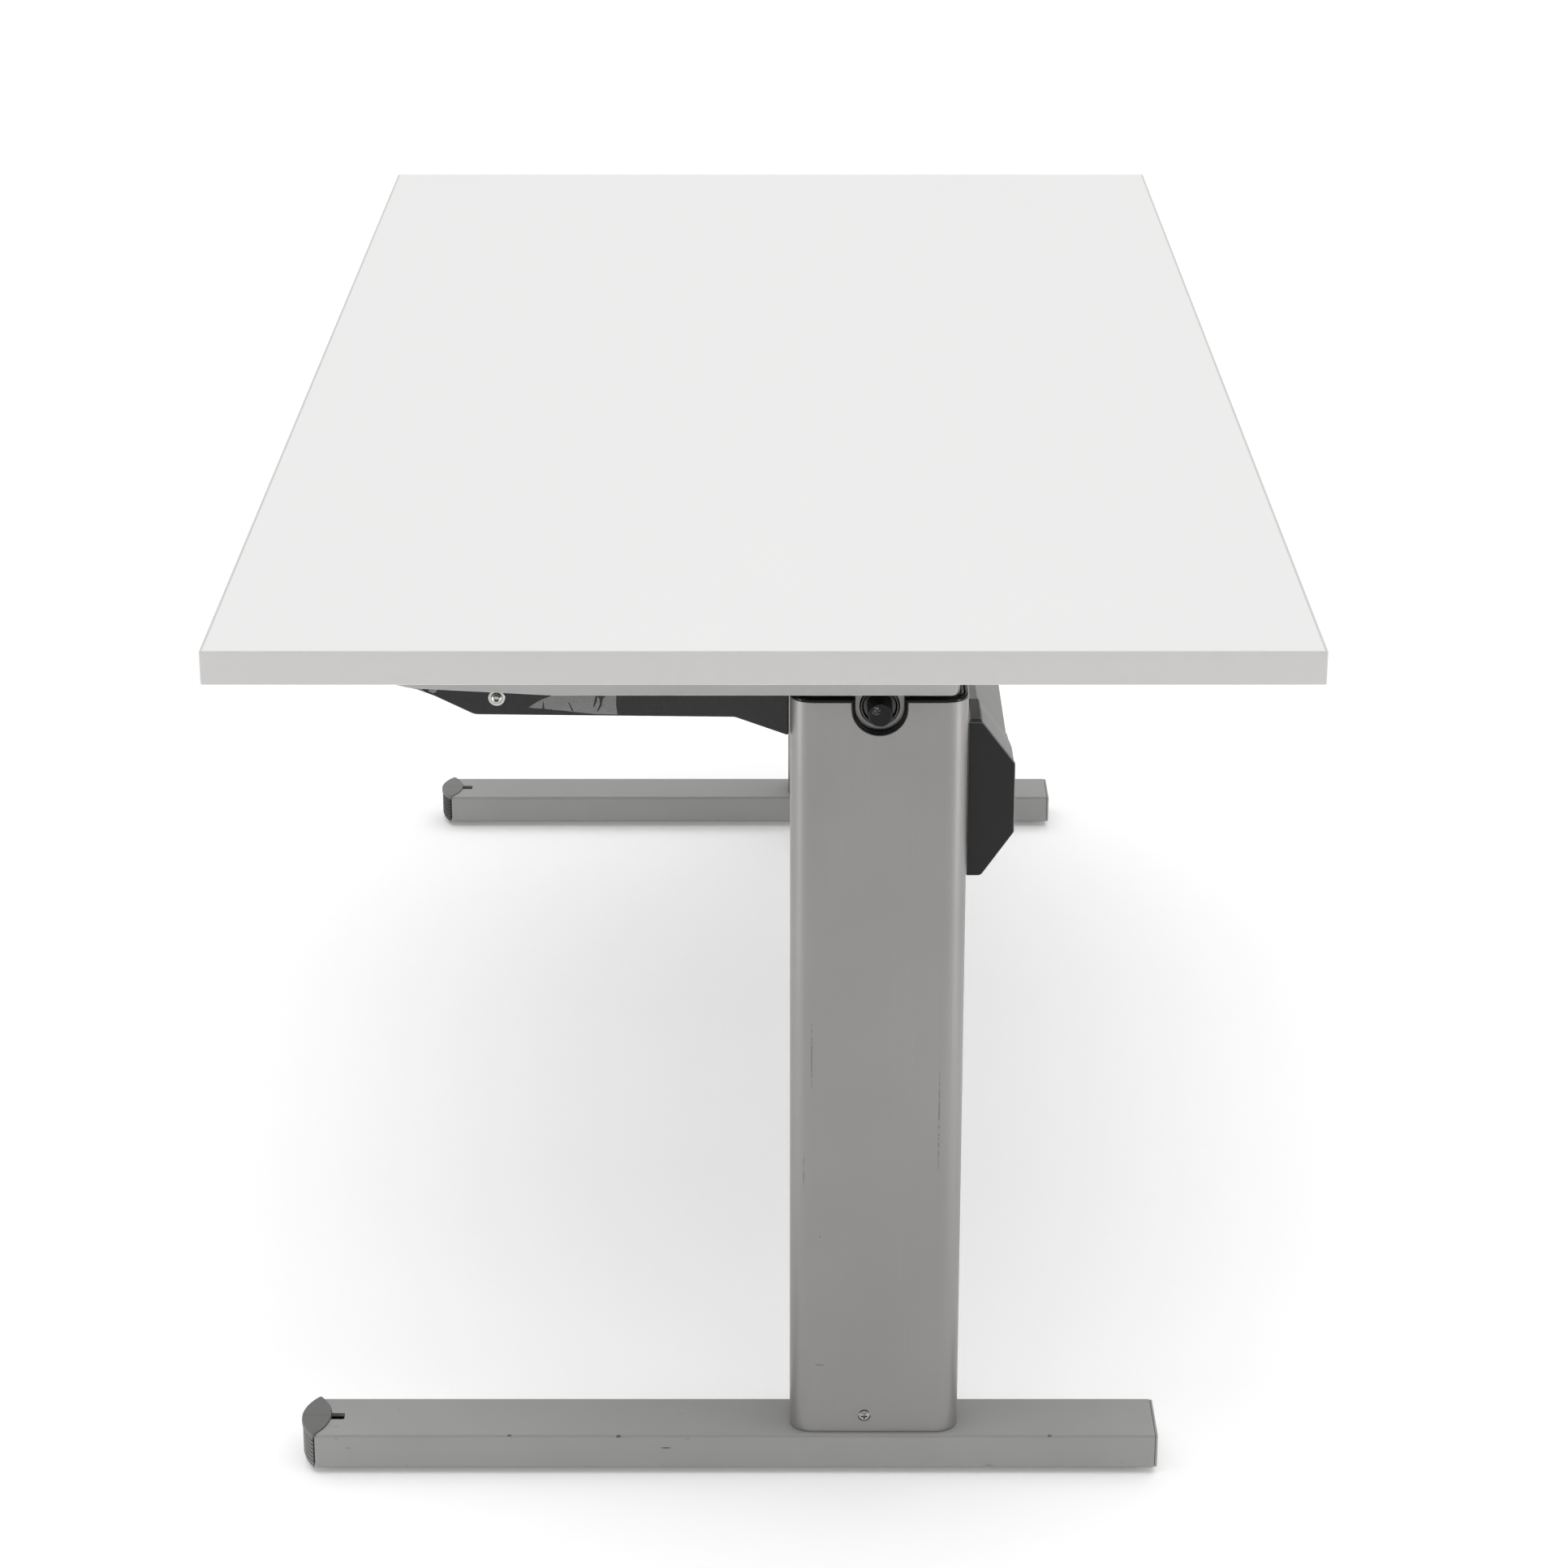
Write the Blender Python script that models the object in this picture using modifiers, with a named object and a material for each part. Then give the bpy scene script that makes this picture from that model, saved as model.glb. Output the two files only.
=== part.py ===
"""Height adjustable standing desk with two three-stage columns and a hand-crank drive.

The desk is lowered to its lowest position. X runs along the desk, with the right leg at +X. The person using it
sits or stands at -Y. Z is up, and the levelling feet rest on z = 0. All lengths are in metres.
"""

from math import asin, cos, pi, radians, sin, sqrt

import bmesh
import bpy
from mathutils import Matrix, Vector

GAP = 0.0003  # between two pieces that touch

# Tabletop
TOP_LENGTH = 1.600
TOP_DEPTH = 0.800
TOP_THICKNESS = 0.025
TOP_HEIGHT = 0.702  # upper face of the board, with the desk lowered
TOP_EDGE = 0.0008  # rounding of the board's edges

# Feet
LEG_X = 0.7035  # centre of a foot, measured from the middle of the desk
FOOT_WIDTH = 0.060
FOOT_HEIGHT = 0.030
FOOT_WALL = 0.003
FOOT_CORNER = 0.0035
FOOT_BASE = 0.005  # underside of the foot tube
FOOT_TOP = FOOT_BASE + FOOT_HEIGHT
FOOT_FRONT = -0.352
FOOT_REAR = 0.304
LEVELLER_FRONT = -0.332
LEVELLER_REAR = 0.284
LEVELLER_HOLE = 0.0044
ACCESS_SLOT = 0.0050  # half width of the slot over the front leveller
ACCESS_DEPTH = 0.0045  # how far the slot and the front cap's bite are cut down from the foot's upper face
PLUG_HALF = 0.0265  # half width of the caps' plugs

# The front cap is a lens in plan: its nose bulges forward, and its back arc bites into the foot's upper wall.
CAP_HALF = FOOT_WIDTH / 2 - 0.0002
CAP_SIDE = 0.0015  # thickness of the lens at its two ends
CAP_NOSE = 0.0125
CAP_BITE = 0.0107
CAP_LIP = 0.0005  # how far the crown stands over the ribbed nose
CAP_ROUNDING = 0.002
CROWN_LOW = FOOT_TOP - 0.0026
CROWN_HIGH = FOOT_TOP + 0.0012
NOSE_HIGH = FOOT_TOP - 0.001

# Columns: three telescoping tubes of rounded rectangular section
COLUMN_X = 0.7026
COLUMN_Y = 0.0845
COLUMN_DEPTH_X = 0.052
COLUMN_WIDTH_Y = 0.131
COLUMN_CORNER = 0.017
COLUMN_WALL = 0.002
STAGE_STEP = 0.00325  # how much smaller each stage is than the one around it, on every side
RIM = 0.6386  # upper end of the outer and the middle tube
MIDDLE_LOW = 0.064
INNER_LOW = 0.066
INNER_TOP = 0.651
OUTER_NOTCH = 0.0205
MIDDLE_NOTCH = 0.0193
OUTER_LIP = (RIM + 0.0024, 0.0203, 0.0192)  # a lip's upper end, and the outer and inner radius of its band
MIDDLE_LIP = (RIM + 0.0030, 0.0190, 0.0179)
LIP_GAP = 0.0005  # between a lip and the tube that slides in it
BASE_TOP = 0.062
POST_RADIUS = 0.015
POST_BORE = 0.012
POST_LOW = 0.055
POST_HIGH = 0.588
COLUMN_SCREW = (0.0770, 0.0497)  # (y, z) of the screw low on each column's outer face
SCREW_HOLE = 0.0023

# Drive
DRIVE_Z = 0.6336  # height of the cross shaft
SHAFT_FLATS = 0.010
SHAFT_END = 0.738
GEAR_TEETH = 12
GEAR_RADIUS = 0.012
GEAR_FACE = 0.006
SPINDLE_RADIUS = 0.008
SPINDLE_FOOT = 0.070
SPINDLE_SHOULDER = 0.5975
SPINDLE_TOP = 0.6266
JOURNAL_RADIUS = 0.005
JOURNAL_BORE = 0.0053
NUT_TOP = 0.595
BLOCK_LOW = 0.598
BLOCK_HIGH = 0.6165
BUSH_HOLE = 0.0146

# Crossbeam behind the columns: a shield-shaped section, (y, z) of its cover's corners
SHIELD = (
    (0.1508, 0.6133),
    (0.1614, 0.6133),
    (0.1860, 0.5808),
    (0.1860, 0.5265),
    (0.1616, 0.4915),
    (0.1508, 0.4915),
)
SHIELD_CORNER = 0.004
BEAM_INSET = 0.0035
BEAM_WALL = 0.002
BEAM_END = 0.690
BEAM_CAP_FACE = 0.700
BRACKET_SECTIONS = ((0.634, 0.0027), (0.668, 0.0007), (0.6967, 0.0006))  # (x, inset) along its flare
BRACKET_FLANGE = 0.0040
BRACKET_LOW = (0.104, 0.505)  # (y, z) of the flange's lower front corner
BRACKET_HIGH = (0.1545, 0.600)
BRACKET_BOLT_Y = 0.120
BRACKET_BOLTS_Z = (0.520, 0.585)
BOLT_HOLE = 0.0044
COVER_PLATE = 0.003
COVER_EDGE = BEAM_CAP_FACE - 0.001  # where the cover's tongue and plug join its plate
TONGUE_END = 0.656
TONGUE_Y = (0.1520, 0.1608)
TONGUE_RISE = 0.0032  # above the cover
PLUG_LOW = (0.684, 0.158, 0.532)
PLUG_HIGH = (0.177, 0.572)

# Frame under the top
ARM_HALF_WIDTH = 0.0135
ARM_X = 0.7015
ARM_TOP = TOP_HEIGHT - TOP_THICKNESS - GAP
ARM_SCREW = (-0.1959, 0.6380)  # (y, z) of the screw in each arm's outer side
ARM_SCREW_HOLE = 0.0033
ARM_DEEP_END = 0.0180  # where the arm's deep part ends, beside the column
HEAD_PLATE = 0.005
SIDE_RAIL_FACE = 0.750
SIDE_RAIL_WALL = 0.0025
SIDE_RAIL_LOW = 0.6517
SIDE_RAIL_REAR = 0.140
TOP_RAILS_Y = (-0.150, 0.250)
TOP_RAIL_HALF_WIDTH = 0.020
TOP_RAIL_HALF_HEIGHT = 0.010
TOP_RAIL_WALL = 0.0015

DESK = bpy.data.collections.new("height_adjustable_standing_desk")
CUTTERS = bpy.data.collections.new("cutters")

COLOURS = {
    "white_laminate": ((0.86, 0.86, 0.86), 0.35, 0.0),
    "grey_paint": ((0.29, 0.285, 0.275), 0.40, 0.35),
    "light_grey_paint": ((0.36, 0.36, 0.35), 0.42, 0.2),
    "foot_paint": ((0.28, 0.28, 0.27), 0.50, 0.15),
    "black_cast": ((0.022, 0.022, 0.022), 0.55, 0.0),
    "black_plastic": ((0.020, 0.020, 0.021), 0.35, 0.0),
    "grey_plastic": ((0.18, 0.18, 0.18), 0.55, 0.0),
    "zinc_steel": ((0.62, 0.61, 0.58), 0.30, 1.0),
    "bright_steel": ((0.55, 0.55, 0.55), 0.25, 1.0),
    "brass": ((0.60, 0.43, 0.18), 0.35, 1.0),
    "rubber": ((0.030, 0.030, 0.030), 0.80, 0.0),
}


def clear_scene():
    for obj in list(bpy.data.objects):
        bpy.data.objects.remove(obj, do_unlink=True)


def material(kind):
    """The named finish, made the first time that a piece needs it."""
    found = bpy.data.materials.get(kind)
    if found:
        return found
    colour, roughness, metallic = COLOURS[kind]
    made = bpy.data.materials.new(kind)
    made.use_nodes = True
    shader = made.node_tree.nodes["Principled BSDF"]
    shader.inputs["Base Color"].default_value = (*colour, 1.0)
    shader.inputs["Roughness"].default_value = roughness
    shader.inputs["Metallic"].default_value = metallic
    return made


def place(name, mesh, kind, location=(0, 0, 0), turn=None):
    """A new object. kind None makes a cutter, which stays out of the desk."""
    obj = bpy.data.objects.new(name, mesh)
    matrix = Matrix.Translation(location)
    if turn is not None:
        matrix = matrix @ turn.to_4x4()
    obj.matrix_world = matrix
    if kind is None:
        CUTTERS.objects.link(obj)
        obj.hide_render = True
        obj.display_type = "WIRE"
    else:
        DESK.objects.link(obj)
        mesh.materials.clear()
        mesh.materials.append(material(kind))
    return obj


ALONG_X = Matrix(((0, 0, 1), (1, 0, 0), (0, 1, 0)))  # local x, y, z point along Y, Z, X
ALONG_Y = Matrix(((0, 1, 0), (0, 0, 1), (1, 0, 0)))  # local x, y, z point along Z, X, Y
ALONG_Z = Matrix.Identity(3)


def box(name, low, high, kind=None, bevel=0.0):
    """A box between two corners, with its edges rounded by a Bevel of the given width."""
    mesh = bpy.data.meshes.new(name)
    form = bmesh.new()
    size = Vector(high) - Vector(low)
    bmesh.ops.create_cube(form, size=1.0, matrix=Matrix.Diagonal((*size, 1.0)))
    form.to_mesh(mesh)
    form.free()
    obj = place(name, mesh, kind, (Vector(low) + Vector(high)) / 2)
    if bevel:
        round_edges(obj, bevel)
    return obj


def round_edges(obj, width, segments=2, angle=40):
    modifier = obj.modifiers.new("rounded_edges", "BEVEL")
    modifier.width = width
    modifier.segments = segments
    modifier.limit_method = "ANGLE"
    modifier.angle_limit = radians(angle)


def rod(name, radius, axis, start, end, centre, kind=None, sides=24):
    """A round or, with few sides, many-sided rod along X or Z. centre is its place across that direction."""
    mesh = bpy.data.meshes.new(name)
    form = bmesh.new()
    bmesh.ops.create_cone(
        form,
        cap_ends=True,
        segments=sides,
        radius1=radius,
        radius2=radius,
        depth=abs(end - start),
    )
    form.to_mesh(mesh)
    form.free()
    middle = (start + end) / 2
    if axis == "X":
        return shade(place(name, mesh, kind, (middle, *centre), ALONG_X))
    return shade(place(name, mesh, kind, (*centre, middle), ALONG_Z))


def shade(obj):
    obj.data.shade_smooth()
    obj.data.set_sharp_from_angle(angle=radians(35))
    return obj


def rounded(corners, radius, segments=4):
    """The outline with an arc at each corner. radius is one number, or one for each corner."""
    points = []
    count = len(corners)
    for i, corner in enumerate(corners):
        reach = radius[i] if isinstance(radius, (list, tuple)) else radius
        here = Vector(corner)
        before = (Vector(corners[i - 1]) - here).normalized()
        after = (Vector(corners[(i + 1) % count]) - here).normalized()
        half = asin(min(1.0, (before + after).length / 2))
        opening = pi / 2 - half  # half of the angle between the two sides
        if reach <= 0 or opening > radians(88):
            points.append(tuple(here))
            continue
        tangent = reach / (sin(opening) / cos(opening))
        centre = here + (before + after).normalized() * (reach / sin(opening))
        first = here + before * tangent - centre
        last = here + after * tangent - centre
        for step in range(segments + 1):
            share = step / segments
            arm = first.lerp(last, share).normalized() * reach
            points.append(tuple(centre + arm))
    return points


def rectangle(half_a, half_b, radius=0.0, segments=4, centre=(0, 0)):
    corners = [(-half_a, -half_b), (half_a, -half_b), (half_a, half_b), (-half_a, half_b)]
    corners = [(a + centre[0], b + centre[1]) for a, b in corners]
    return rounded(corners, radius, segments) if radius else corners


def prism(name, outlines, turn, start, end, centre=(0, 0), kind=None):
    """A flat outline, with any holes after it, drawn out from start to end along the turn's own third axis."""
    curve = bpy.data.curves.new(name, "CURVE")
    curve.dimensions = "2D"
    curve.fill_mode = "BOTH"
    curve.extrude = abs(end - start) / 2
    for outline in outlines:
        spline = curve.splines.new("POLY")
        spline.points.add(len(outline) - 1)
        for point, (a, b) in zip(spline.points, outline):
            point.co = (a, b, 0, 1)
        spline.use_cyclic_u = True
    drawn = bpy.data.objects.new(name, curve)
    bpy.context.scene.collection.objects.link(drawn)
    bpy.context.view_layer.update()
    mesh = bpy.data.meshes.new_from_object(drawn.evaluated_get(bpy.context.evaluated_depsgraph_get()))
    bpy.data.objects.remove(drawn)
    mesh.name = name
    form = bmesh.new()
    form.from_mesh(mesh)
    bmesh.ops.remove_doubles(form, verts=form.verts, dist=1e-6)
    bmesh.ops.recalc_face_normals(form, faces=form.faces)
    form.to_mesh(mesh)
    form.free()
    location = turn @ Vector((centre[0], centre[1], (start + end) / 2))
    return shade(place(name, mesh, kind, location, turn))


def turned(name, profile, axis, base, centre, kind, steps=16, flip=1):
    """A piece turned from (radius, height) points that run down its outer side and, in a ring, back up inside.

    Heights count from base along the axis, backwards where flip is -1."""
    if flip < 0:
        profile = [(radius, -height) for radius, height in reversed(profile)]
    mesh = bpy.data.meshes.new(name)
    form = bmesh.new()
    verts = [form.verts.new((radius, 0, height)) for radius, height in profile]
    for first, second in zip(verts, verts[1:]):
        form.edges.new((first, second))
    if profile[0][0] > 0:
        form.edges.new((verts[-1], verts[0]))
    form.to_mesh(mesh)
    form.free()
    if axis == "X":
        obj = place(name, mesh, kind, (base, *centre), ALONG_X)
    else:
        obj = place(name, mesh, kind, (*centre, base), ALONG_Z)
    screw = obj.modifiers.new("turned", "SCREW")
    screw.axis = "Z"
    screw.steps = steps
    screw.render_steps = steps
    screw.use_merge_vertices = True
    screw.merge_threshold = 1e-6
    screw.use_smooth_shade = True
    return obj


def combine(obj, others, operation="DIFFERENCE"):
    for other in others:
        modifier = obj.modifiers.new(f"{operation.lower()}_{other.name}", "BOOLEAN")
        modifier.operation = operation
        modifier.solver = "EXACT"
        modifier.object = other
    return obj


def shield(inset):
    """The beam's section with every side moved inwards by the inset."""
    lines = []
    for i, point in enumerate(SHIELD):
        here, there = Vector(point), Vector(SHIELD[(i + 1) % len(SHIELD)])
        along = (there - here).normalized()
        inward = Vector((along.y, -along.x))
        lines.append((here + inward * inset, along))
    corners = []
    for (start, along), (other_start, other_along) in zip(lines[-1:] + lines[:-1], lines):
        cross = along.x * other_along.y - along.y * other_along.x
        offset = other_start - start
        share = (offset.x * other_along.y - offset.y * other_along.x) / cross
        corners.append(tuple(start + along * share))
    return rounded(corners, max(0.0006, SHIELD_CORNER - 0.6 * inset), 2)


def loft(name, sections, kind):
    """A closed form through sections of equal point counts, each (x, outline in y and z)."""
    mesh = bpy.data.meshes.new(name)
    form = bmesh.new()
    rings = [[form.verts.new((x, y, z)) for y, z in outline] for x, outline in sections]
    count = len(rings[0])
    form.faces.new(rings[0])
    form.faces.new(list(reversed(rings[-1])))
    for ring, following in zip(rings, rings[1:]):
        for i in range(count):
            j = (i + 1) % count
            form.faces.new((ring[j], ring[i], following[i], following[j]))
    bmesh.ops.recalc_face_normals(form, faces=form.faces)
    form.to_mesh(mesh)
    form.free()
    return shade(place(name, mesh, kind))


def column_section(stage, inset=0.0, segments=4):
    """A column tube's outline: stage 0 is the outer tube, 1 the middle one and 2 the inner one."""
    drop = stage * STAGE_STEP + inset
    return rectangle(
        COLUMN_DEPTH_X / 2 - drop,
        COLUMN_WIDTH_Y / 2 - drop,
        COLUMN_CORNER - drop,
        segments,
    )


def notch_outline(radius, rise):
    """A U open upwards, in (y, z) about the shaft's axis."""
    arc = [(radius * cos(a), radius * sin(a)) for a in (pi + pi * i / 12 for i in range(13))]
    return [(-radius, rise), *arc, (radius, rise)]


def tabletop():
    half = (TOP_LENGTH / 2, TOP_DEPTH / 2)
    low = (-half[0], -half[1], TOP_HEIGHT - TOP_THICKNESS)
    return [box("tabletop", low, (*half, TOP_HEIGHT), "white_laminate", bevel=TOP_EDGE)]


def arc_radius(rise, half):
    return (half**2 + rise**2) / (2 * rise)


BITE_RADIUS = arc_radius(CAP_BITE, FOOT_WIDTH / 2)
BITE_CENTRE = FOOT_FRONT + CAP_BITE - BITE_RADIUS


def nose_arc(inset, segments=12):
    """(x, y) points of the nose, from side to side."""
    rise = CAP_NOSE - CAP_SIDE
    radius = arc_radius(rise, CAP_HALF)
    centre = FOOT_FRONT - CAP_NOSE + radius
    xs = [(CAP_HALF - inset) * (2 * i / segments - 1) for i in range(segments + 1)]
    return [(x, centre - sqrt(radius**2 - x * x) + inset) for x in xs]


def foot(side, name):
    x = side * LEG_X
    middle = FOOT_BASE + FOOT_HEIGHT / 2
    outer = rectangle(FOOT_HEIGHT / 2, FOOT_WIDTH / 2, FOOT_CORNER, 3)
    inner = rectangle(FOOT_HEIGHT / 2 - FOOT_WALL, FOOT_WIDTH / 2 - FOOT_WALL)
    outlines, centre = [outer, inner], (middle, x)
    tube = prism(f"{name}_foot_tube", outlines, ALONG_Y, FOOT_FRONT, FOOT_REAR, centre, "foot_paint")
    low, over = FOOT_TOP - ACCESS_DEPTH, FOOT_TOP + 0.01
    arc = rod(f"{name}_foot_arc", BITE_RADIUS, "Z", low, over, (x, BITE_CENTRE), sides=64)
    slot = box(
        f"{name}_foot_slot",
        (x - ACCESS_SLOT, FOOT_FRONT, low),
        (x + ACCESS_SLOT, LEVELLER_FRONT + 0.001, over),
    )
    holes = [
        rod(f"{name}_foot_hole_{i}", LEVELLER_HOLE, "Z", -0.01, middle, (x, y), sides=16)
        for i, y in enumerate((LEVELLER_FRONT, LEVELLER_REAR))
    ]
    return combine(tube, [arc, slot, *holes])


def front_cap(side, name):
    x = side * LEG_X
    back = FOOT_FRONT - GAP
    nose = nose_arc(CAP_LIP)
    block = nose + [(nose[-1][0], back), (nose[0][0], back)]
    body = prism(f"{name}_foot_front_cap", [block], ALONG_Z, 0, NOSE_HIGH, (x, 0), "grey_plastic")
    crown_nose = nose_arc(0)
    bite = [(a, BITE_CENTRE + sqrt((BITE_RADIUS - GAP) ** 2 - a * a)) for a, _ in reversed(crown_nose)]
    crown = prism(f"{name}_cap_crown", [crown_nose + bite], ALONG_Z, CROWN_LOW, CROWN_HIGH, (x, 0))
    plug = box(
        f"{name}_front_plug",
        (x - PLUG_HALF, back - 0.002, FOOT_BASE + FOOT_WALL + GAP),
        (x + PLUG_HALF, FOOT_FRONT + 0.010, FOOT_TOP - FOOT_WALL - GAP),
    )
    low, high = FOOT_BASE + GAP, FOOT_TOP + 0.025
    front, rear = FOOT_FRONT - CAP_NOSE, FOOT_FRONT + 0.05
    corners = [(front, low), (rear, low), (rear, high), (front, high)]
    rounding = prism(
        f"{name}_cap_rounding", [rounded(corners, (CAP_ROUNDING, 0, 0, 0), 5)], ALONG_X, x - 0.05, x + 0.05
    )
    combine(body, [rounding], "INTERSECT")
    return combine(body, [crown, plug], "UNION")


def rear_cap(side, name):
    x = side * LEG_X
    plate = box(
        f"{name}_foot_rear_cap",
        (x - FOOT_WIDTH / 2 + GAP, FOOT_REAR + GAP, FOOT_BASE + GAP),
        (x + FOOT_WIDTH / 2 - GAP, FOOT_REAR + 0.0023, FOOT_TOP - GAP),
        "foot_paint",
    )
    plug = box(
        f"{name}_rear_plug",
        (x - PLUG_HALF, FOOT_REAR - 0.0075, FOOT_BASE + FOOT_WALL + GAP),
        (x + PLUG_HALF, FOOT_REAR + 0.001, FOOT_TOP - FOOT_WALL - GAP),
    )
    return combine(plate, [plug], "UNION")


def leveller(side, name, y):
    """A screw foot: a pad on the floor under a threaded stem that stands in the foot tube."""
    profile = [(0, 0.0295), (0.0037, 0.0295), (0.0040, 0.0290), (0.0040, 0.0042), (0.0125, 0.0038)]
    profile += [(0.0140, 0.0022), (0.0140, 0.0006), (0.0134, 0), (0, 0)]
    return turned(name, profile, "Z", 0, (side * LEG_X, y), "rubber", steps=16)


def column_tube(side, name, stage, low, high, kind="grey_paint", notch=None):
    outlines = [column_section(stage), column_section(stage, COLUMN_WALL)]
    tube = prism(name, outlines, ALONG_Z, low, high, (side * COLUMN_X, COLUMN_Y), kind)
    if notch:
        combine(tube, [notch_cutter(f"{name}_notch", side, notch)])
    return tube


def notch_cutter(name, side, radius):
    x = side * COLUMN_X
    outline = notch_outline(radius, 0.04)
    return prism(name, [outline], ALONG_X, x - 0.04, x + 0.04, (COLUMN_Y, DRIVE_Z))


def collar(side, name, stage, lip):
    """Black lip on a tube's upper end, which dips round the shaft's notch on both faces."""
    x = side * COLUMN_X
    high, liner_outer, liner_inner = lip
    outlines = [column_section(stage, 0.0002), column_section(stage, STAGE_STEP - LIP_GAP)]
    ring = prism(name, outlines, ALONG_Z, RIM + GAP, high, (x, COLUMN_Y), "black_plastic")
    half = COLUMN_DEPTH_X / 2 - stage * STAGE_STEP
    depth = COLUMN_WALL + 0.0005 if stage == 0 else COLUMN_WALL
    band = notch_outline(liner_outer, RIM + 0.0010 - DRIVE_Z)
    liners = []
    for i, face in enumerate((-1, 1)):
        edges = sorted((x + face * (half - 0.0001), x + face * (half - depth)))
        liners.append(prism(f"{name}_liner_{i}", [band], ALONG_X, *edges, (COLUMN_Y, DRIVE_Z)))
    combine(ring, liners, "UNION")
    return combine(ring, [notch_cutter(f"{name}_notch", side, liner_inner)])


def column_base(side, name):
    """The block that the column stands on, welded to the post that carries the spindle's nut."""
    x = side * COLUMN_X
    section = column_section(0, COLUMN_WALL + GAP)
    centre = (x, COLUMN_Y)
    block = prism(f"{name}_column_base", [section], ALONG_Z, FOOT_TOP + GAP, BASE_TOP, centre, "zinc_steel")
    post = rod(f"{name}_post_form", POST_RADIUS, "Z", POST_LOW, POST_HIGH, centre, sides=16)
    bore = rod(f"{name}_post_bore", POST_BORE, "Z", BASE_TOP, POST_HIGH + 0.01, centre, sides=16)
    screw_hole = rod(f"{name}_base_hole", SCREW_HOLE, "X", x, x + side * 0.04, COLUMN_SCREW, sides=12)
    combine(block, [post], "UNION")
    return combine(block, [bore, screw_hole])


def column_screw(side, name):
    face = side * (COLUMN_X + COLUMN_DEPTH_X / 2)
    profile = [(0, 0.0020), (0.0022, 0.0019), (0.0036, 0.0012), (0.0041, GAP)]
    profile += [(0.0020, GAP), (0.0020, -0.010), (0, -0.010)]
    return turned(f"{name}_column_screw", profile, "X", face, COLUMN_SCREW, "zinc_steel", 12, side)


def outer_column(side, name):
    tube = column_tube(side, f"{name}_outer_column", 0, FOOT_TOP + GAP, RIM, notch=OUTER_NOTCH)
    x = side * COLUMN_X
    hole = rod(f"{name}_column_hole", SCREW_HOLE, "X", x, x + side * 0.04, COLUMN_SCREW, sides=12)
    bolts = [
        rod(f"{name}_column_bolt_hole_{i}", BOLT_HOLE, "X", x - side * 0.04, x, (BRACKET_BOLT_Y, z), sides=16)
        for i, z in enumerate(BRACKET_BOLTS_Z)
    ]
    return combine(tube, [hole, *bolts])


def spindle_nut(side, name):
    profile = [(0.0147, 0), (0.0147, -0.0067), (0.0117, -0.0070)]
    profile += [(0.0117, -0.035), (0.0083, -0.035), (0.0083, 0)]
    centre = (side * COLUMN_X, COLUMN_Y)
    return turned(f"{name}_spindle_nut", profile, "Z", NUT_TOP, centre, "brass")


def spindle(side, name):
    profile = [
        (0, SPINDLE_TOP),
        (JOURNAL_RADIUS - 0.0005, SPINDLE_TOP),
        (JOURNAL_RADIUS, SPINDLE_TOP - 0.0006),
        (JOURNAL_RADIUS, SPINDLE_SHOULDER),
        (SPINDLE_RADIUS, SPINDLE_SHOULDER),
        (SPINDLE_RADIUS, SPINDLE_FOOT + 0.002),
        (SPINDLE_RADIUS - 0.002, SPINDLE_FOOT),
        (0, SPINDLE_FOOT),
    ]
    return turned(f"{name}_spindle", profile, "Z", 0, (side * COLUMN_X, COLUMN_Y), "bright_steel")


def gear_ring(scale, phase):
    """A bevel gear's toothed edge at one end of its face: (radius, angle, distance from the cone's point)."""
    addendum, dedendum = 0.0015, 0.0022
    tip = (GEAR_RADIUS + addendum / sqrt(2), GEAR_RADIUS - addendum / sqrt(2))
    root = (GEAR_RADIUS - dedendum / sqrt(2), GEAR_RADIUS + dedendum / sqrt(2))
    ring = []
    for tooth in range(GEAR_TEETH):
        middle = 2 * pi * (tooth + phase) / GEAR_TEETH
        for offset, (radius, distance) in ((-8.0, root), (-3.2, tip), (3.2, tip), (8.0, root)):
            ring.append((radius * scale, middle + radians(offset), distance * scale))
    return ring


def bevel_gear(name, turn, apex, bore, phase):
    """A straight bevel gear of 45 degrees. The local z axis runs from its cone's point to its back."""
    small = 1 - GEAR_FACE / (GEAR_RADIUS * sqrt(2))
    back = 0.0166
    mesh = bpy.data.meshes.new(name)
    form = bmesh.new()

    def ring(points):
        return [form.verts.new((r * cos(a), r * sin(a), h)) for r, a, h in points]

    wide = gear_ring(1.0, phase)
    narrow = gear_ring(small, phase)
    hole = [(bore, a) for _, a, _ in wide]
    rings = [
        ring([(r, a, 0.0080) for r, a in hole]),
        ring(narrow),
        ring(wide),
        ring([(0.0095, a, back) for _, a, _ in wide]),
        ring([(r, a, back) for r, a in hole]),
    ]
    count = len(wide)
    for k, current in enumerate(rings):
        following = rings[(k + 1) % len(rings)]
        for i in range(count):
            j = (i + 1) % count
            form.faces.new((current[i], current[j], following[j], following[i]))
    bmesh.ops.recalc_face_normals(form, faces=form.faces)
    form.to_mesh(mesh)
    form.free()
    return shade(place(name, mesh, "bright_steel", apex, turn))


def gears(side, name):
    """The shaft's gear stands on the spindle's -X side in both columns, so both spindles turn the same way."""
    apex = (side * COLUMN_X, COLUMN_Y, DRIVE_Z)
    down = Matrix(((1, 0, 0), (0, -1, 0), (0, 0, -1)))
    inboard = Matrix(((0, 0, -1), (0, 1, 0), (1, 0, 0)))
    on_spindle = bevel_gear(f"{name}_spindle_gear", down, apex, JOURNAL_RADIUS + GAP, 0.0)
    on_shaft = bevel_gear(f"{name}_shaft_gear", inboard, apex, 0.0061, 0.5)
    return on_spindle, on_shaft


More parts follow.
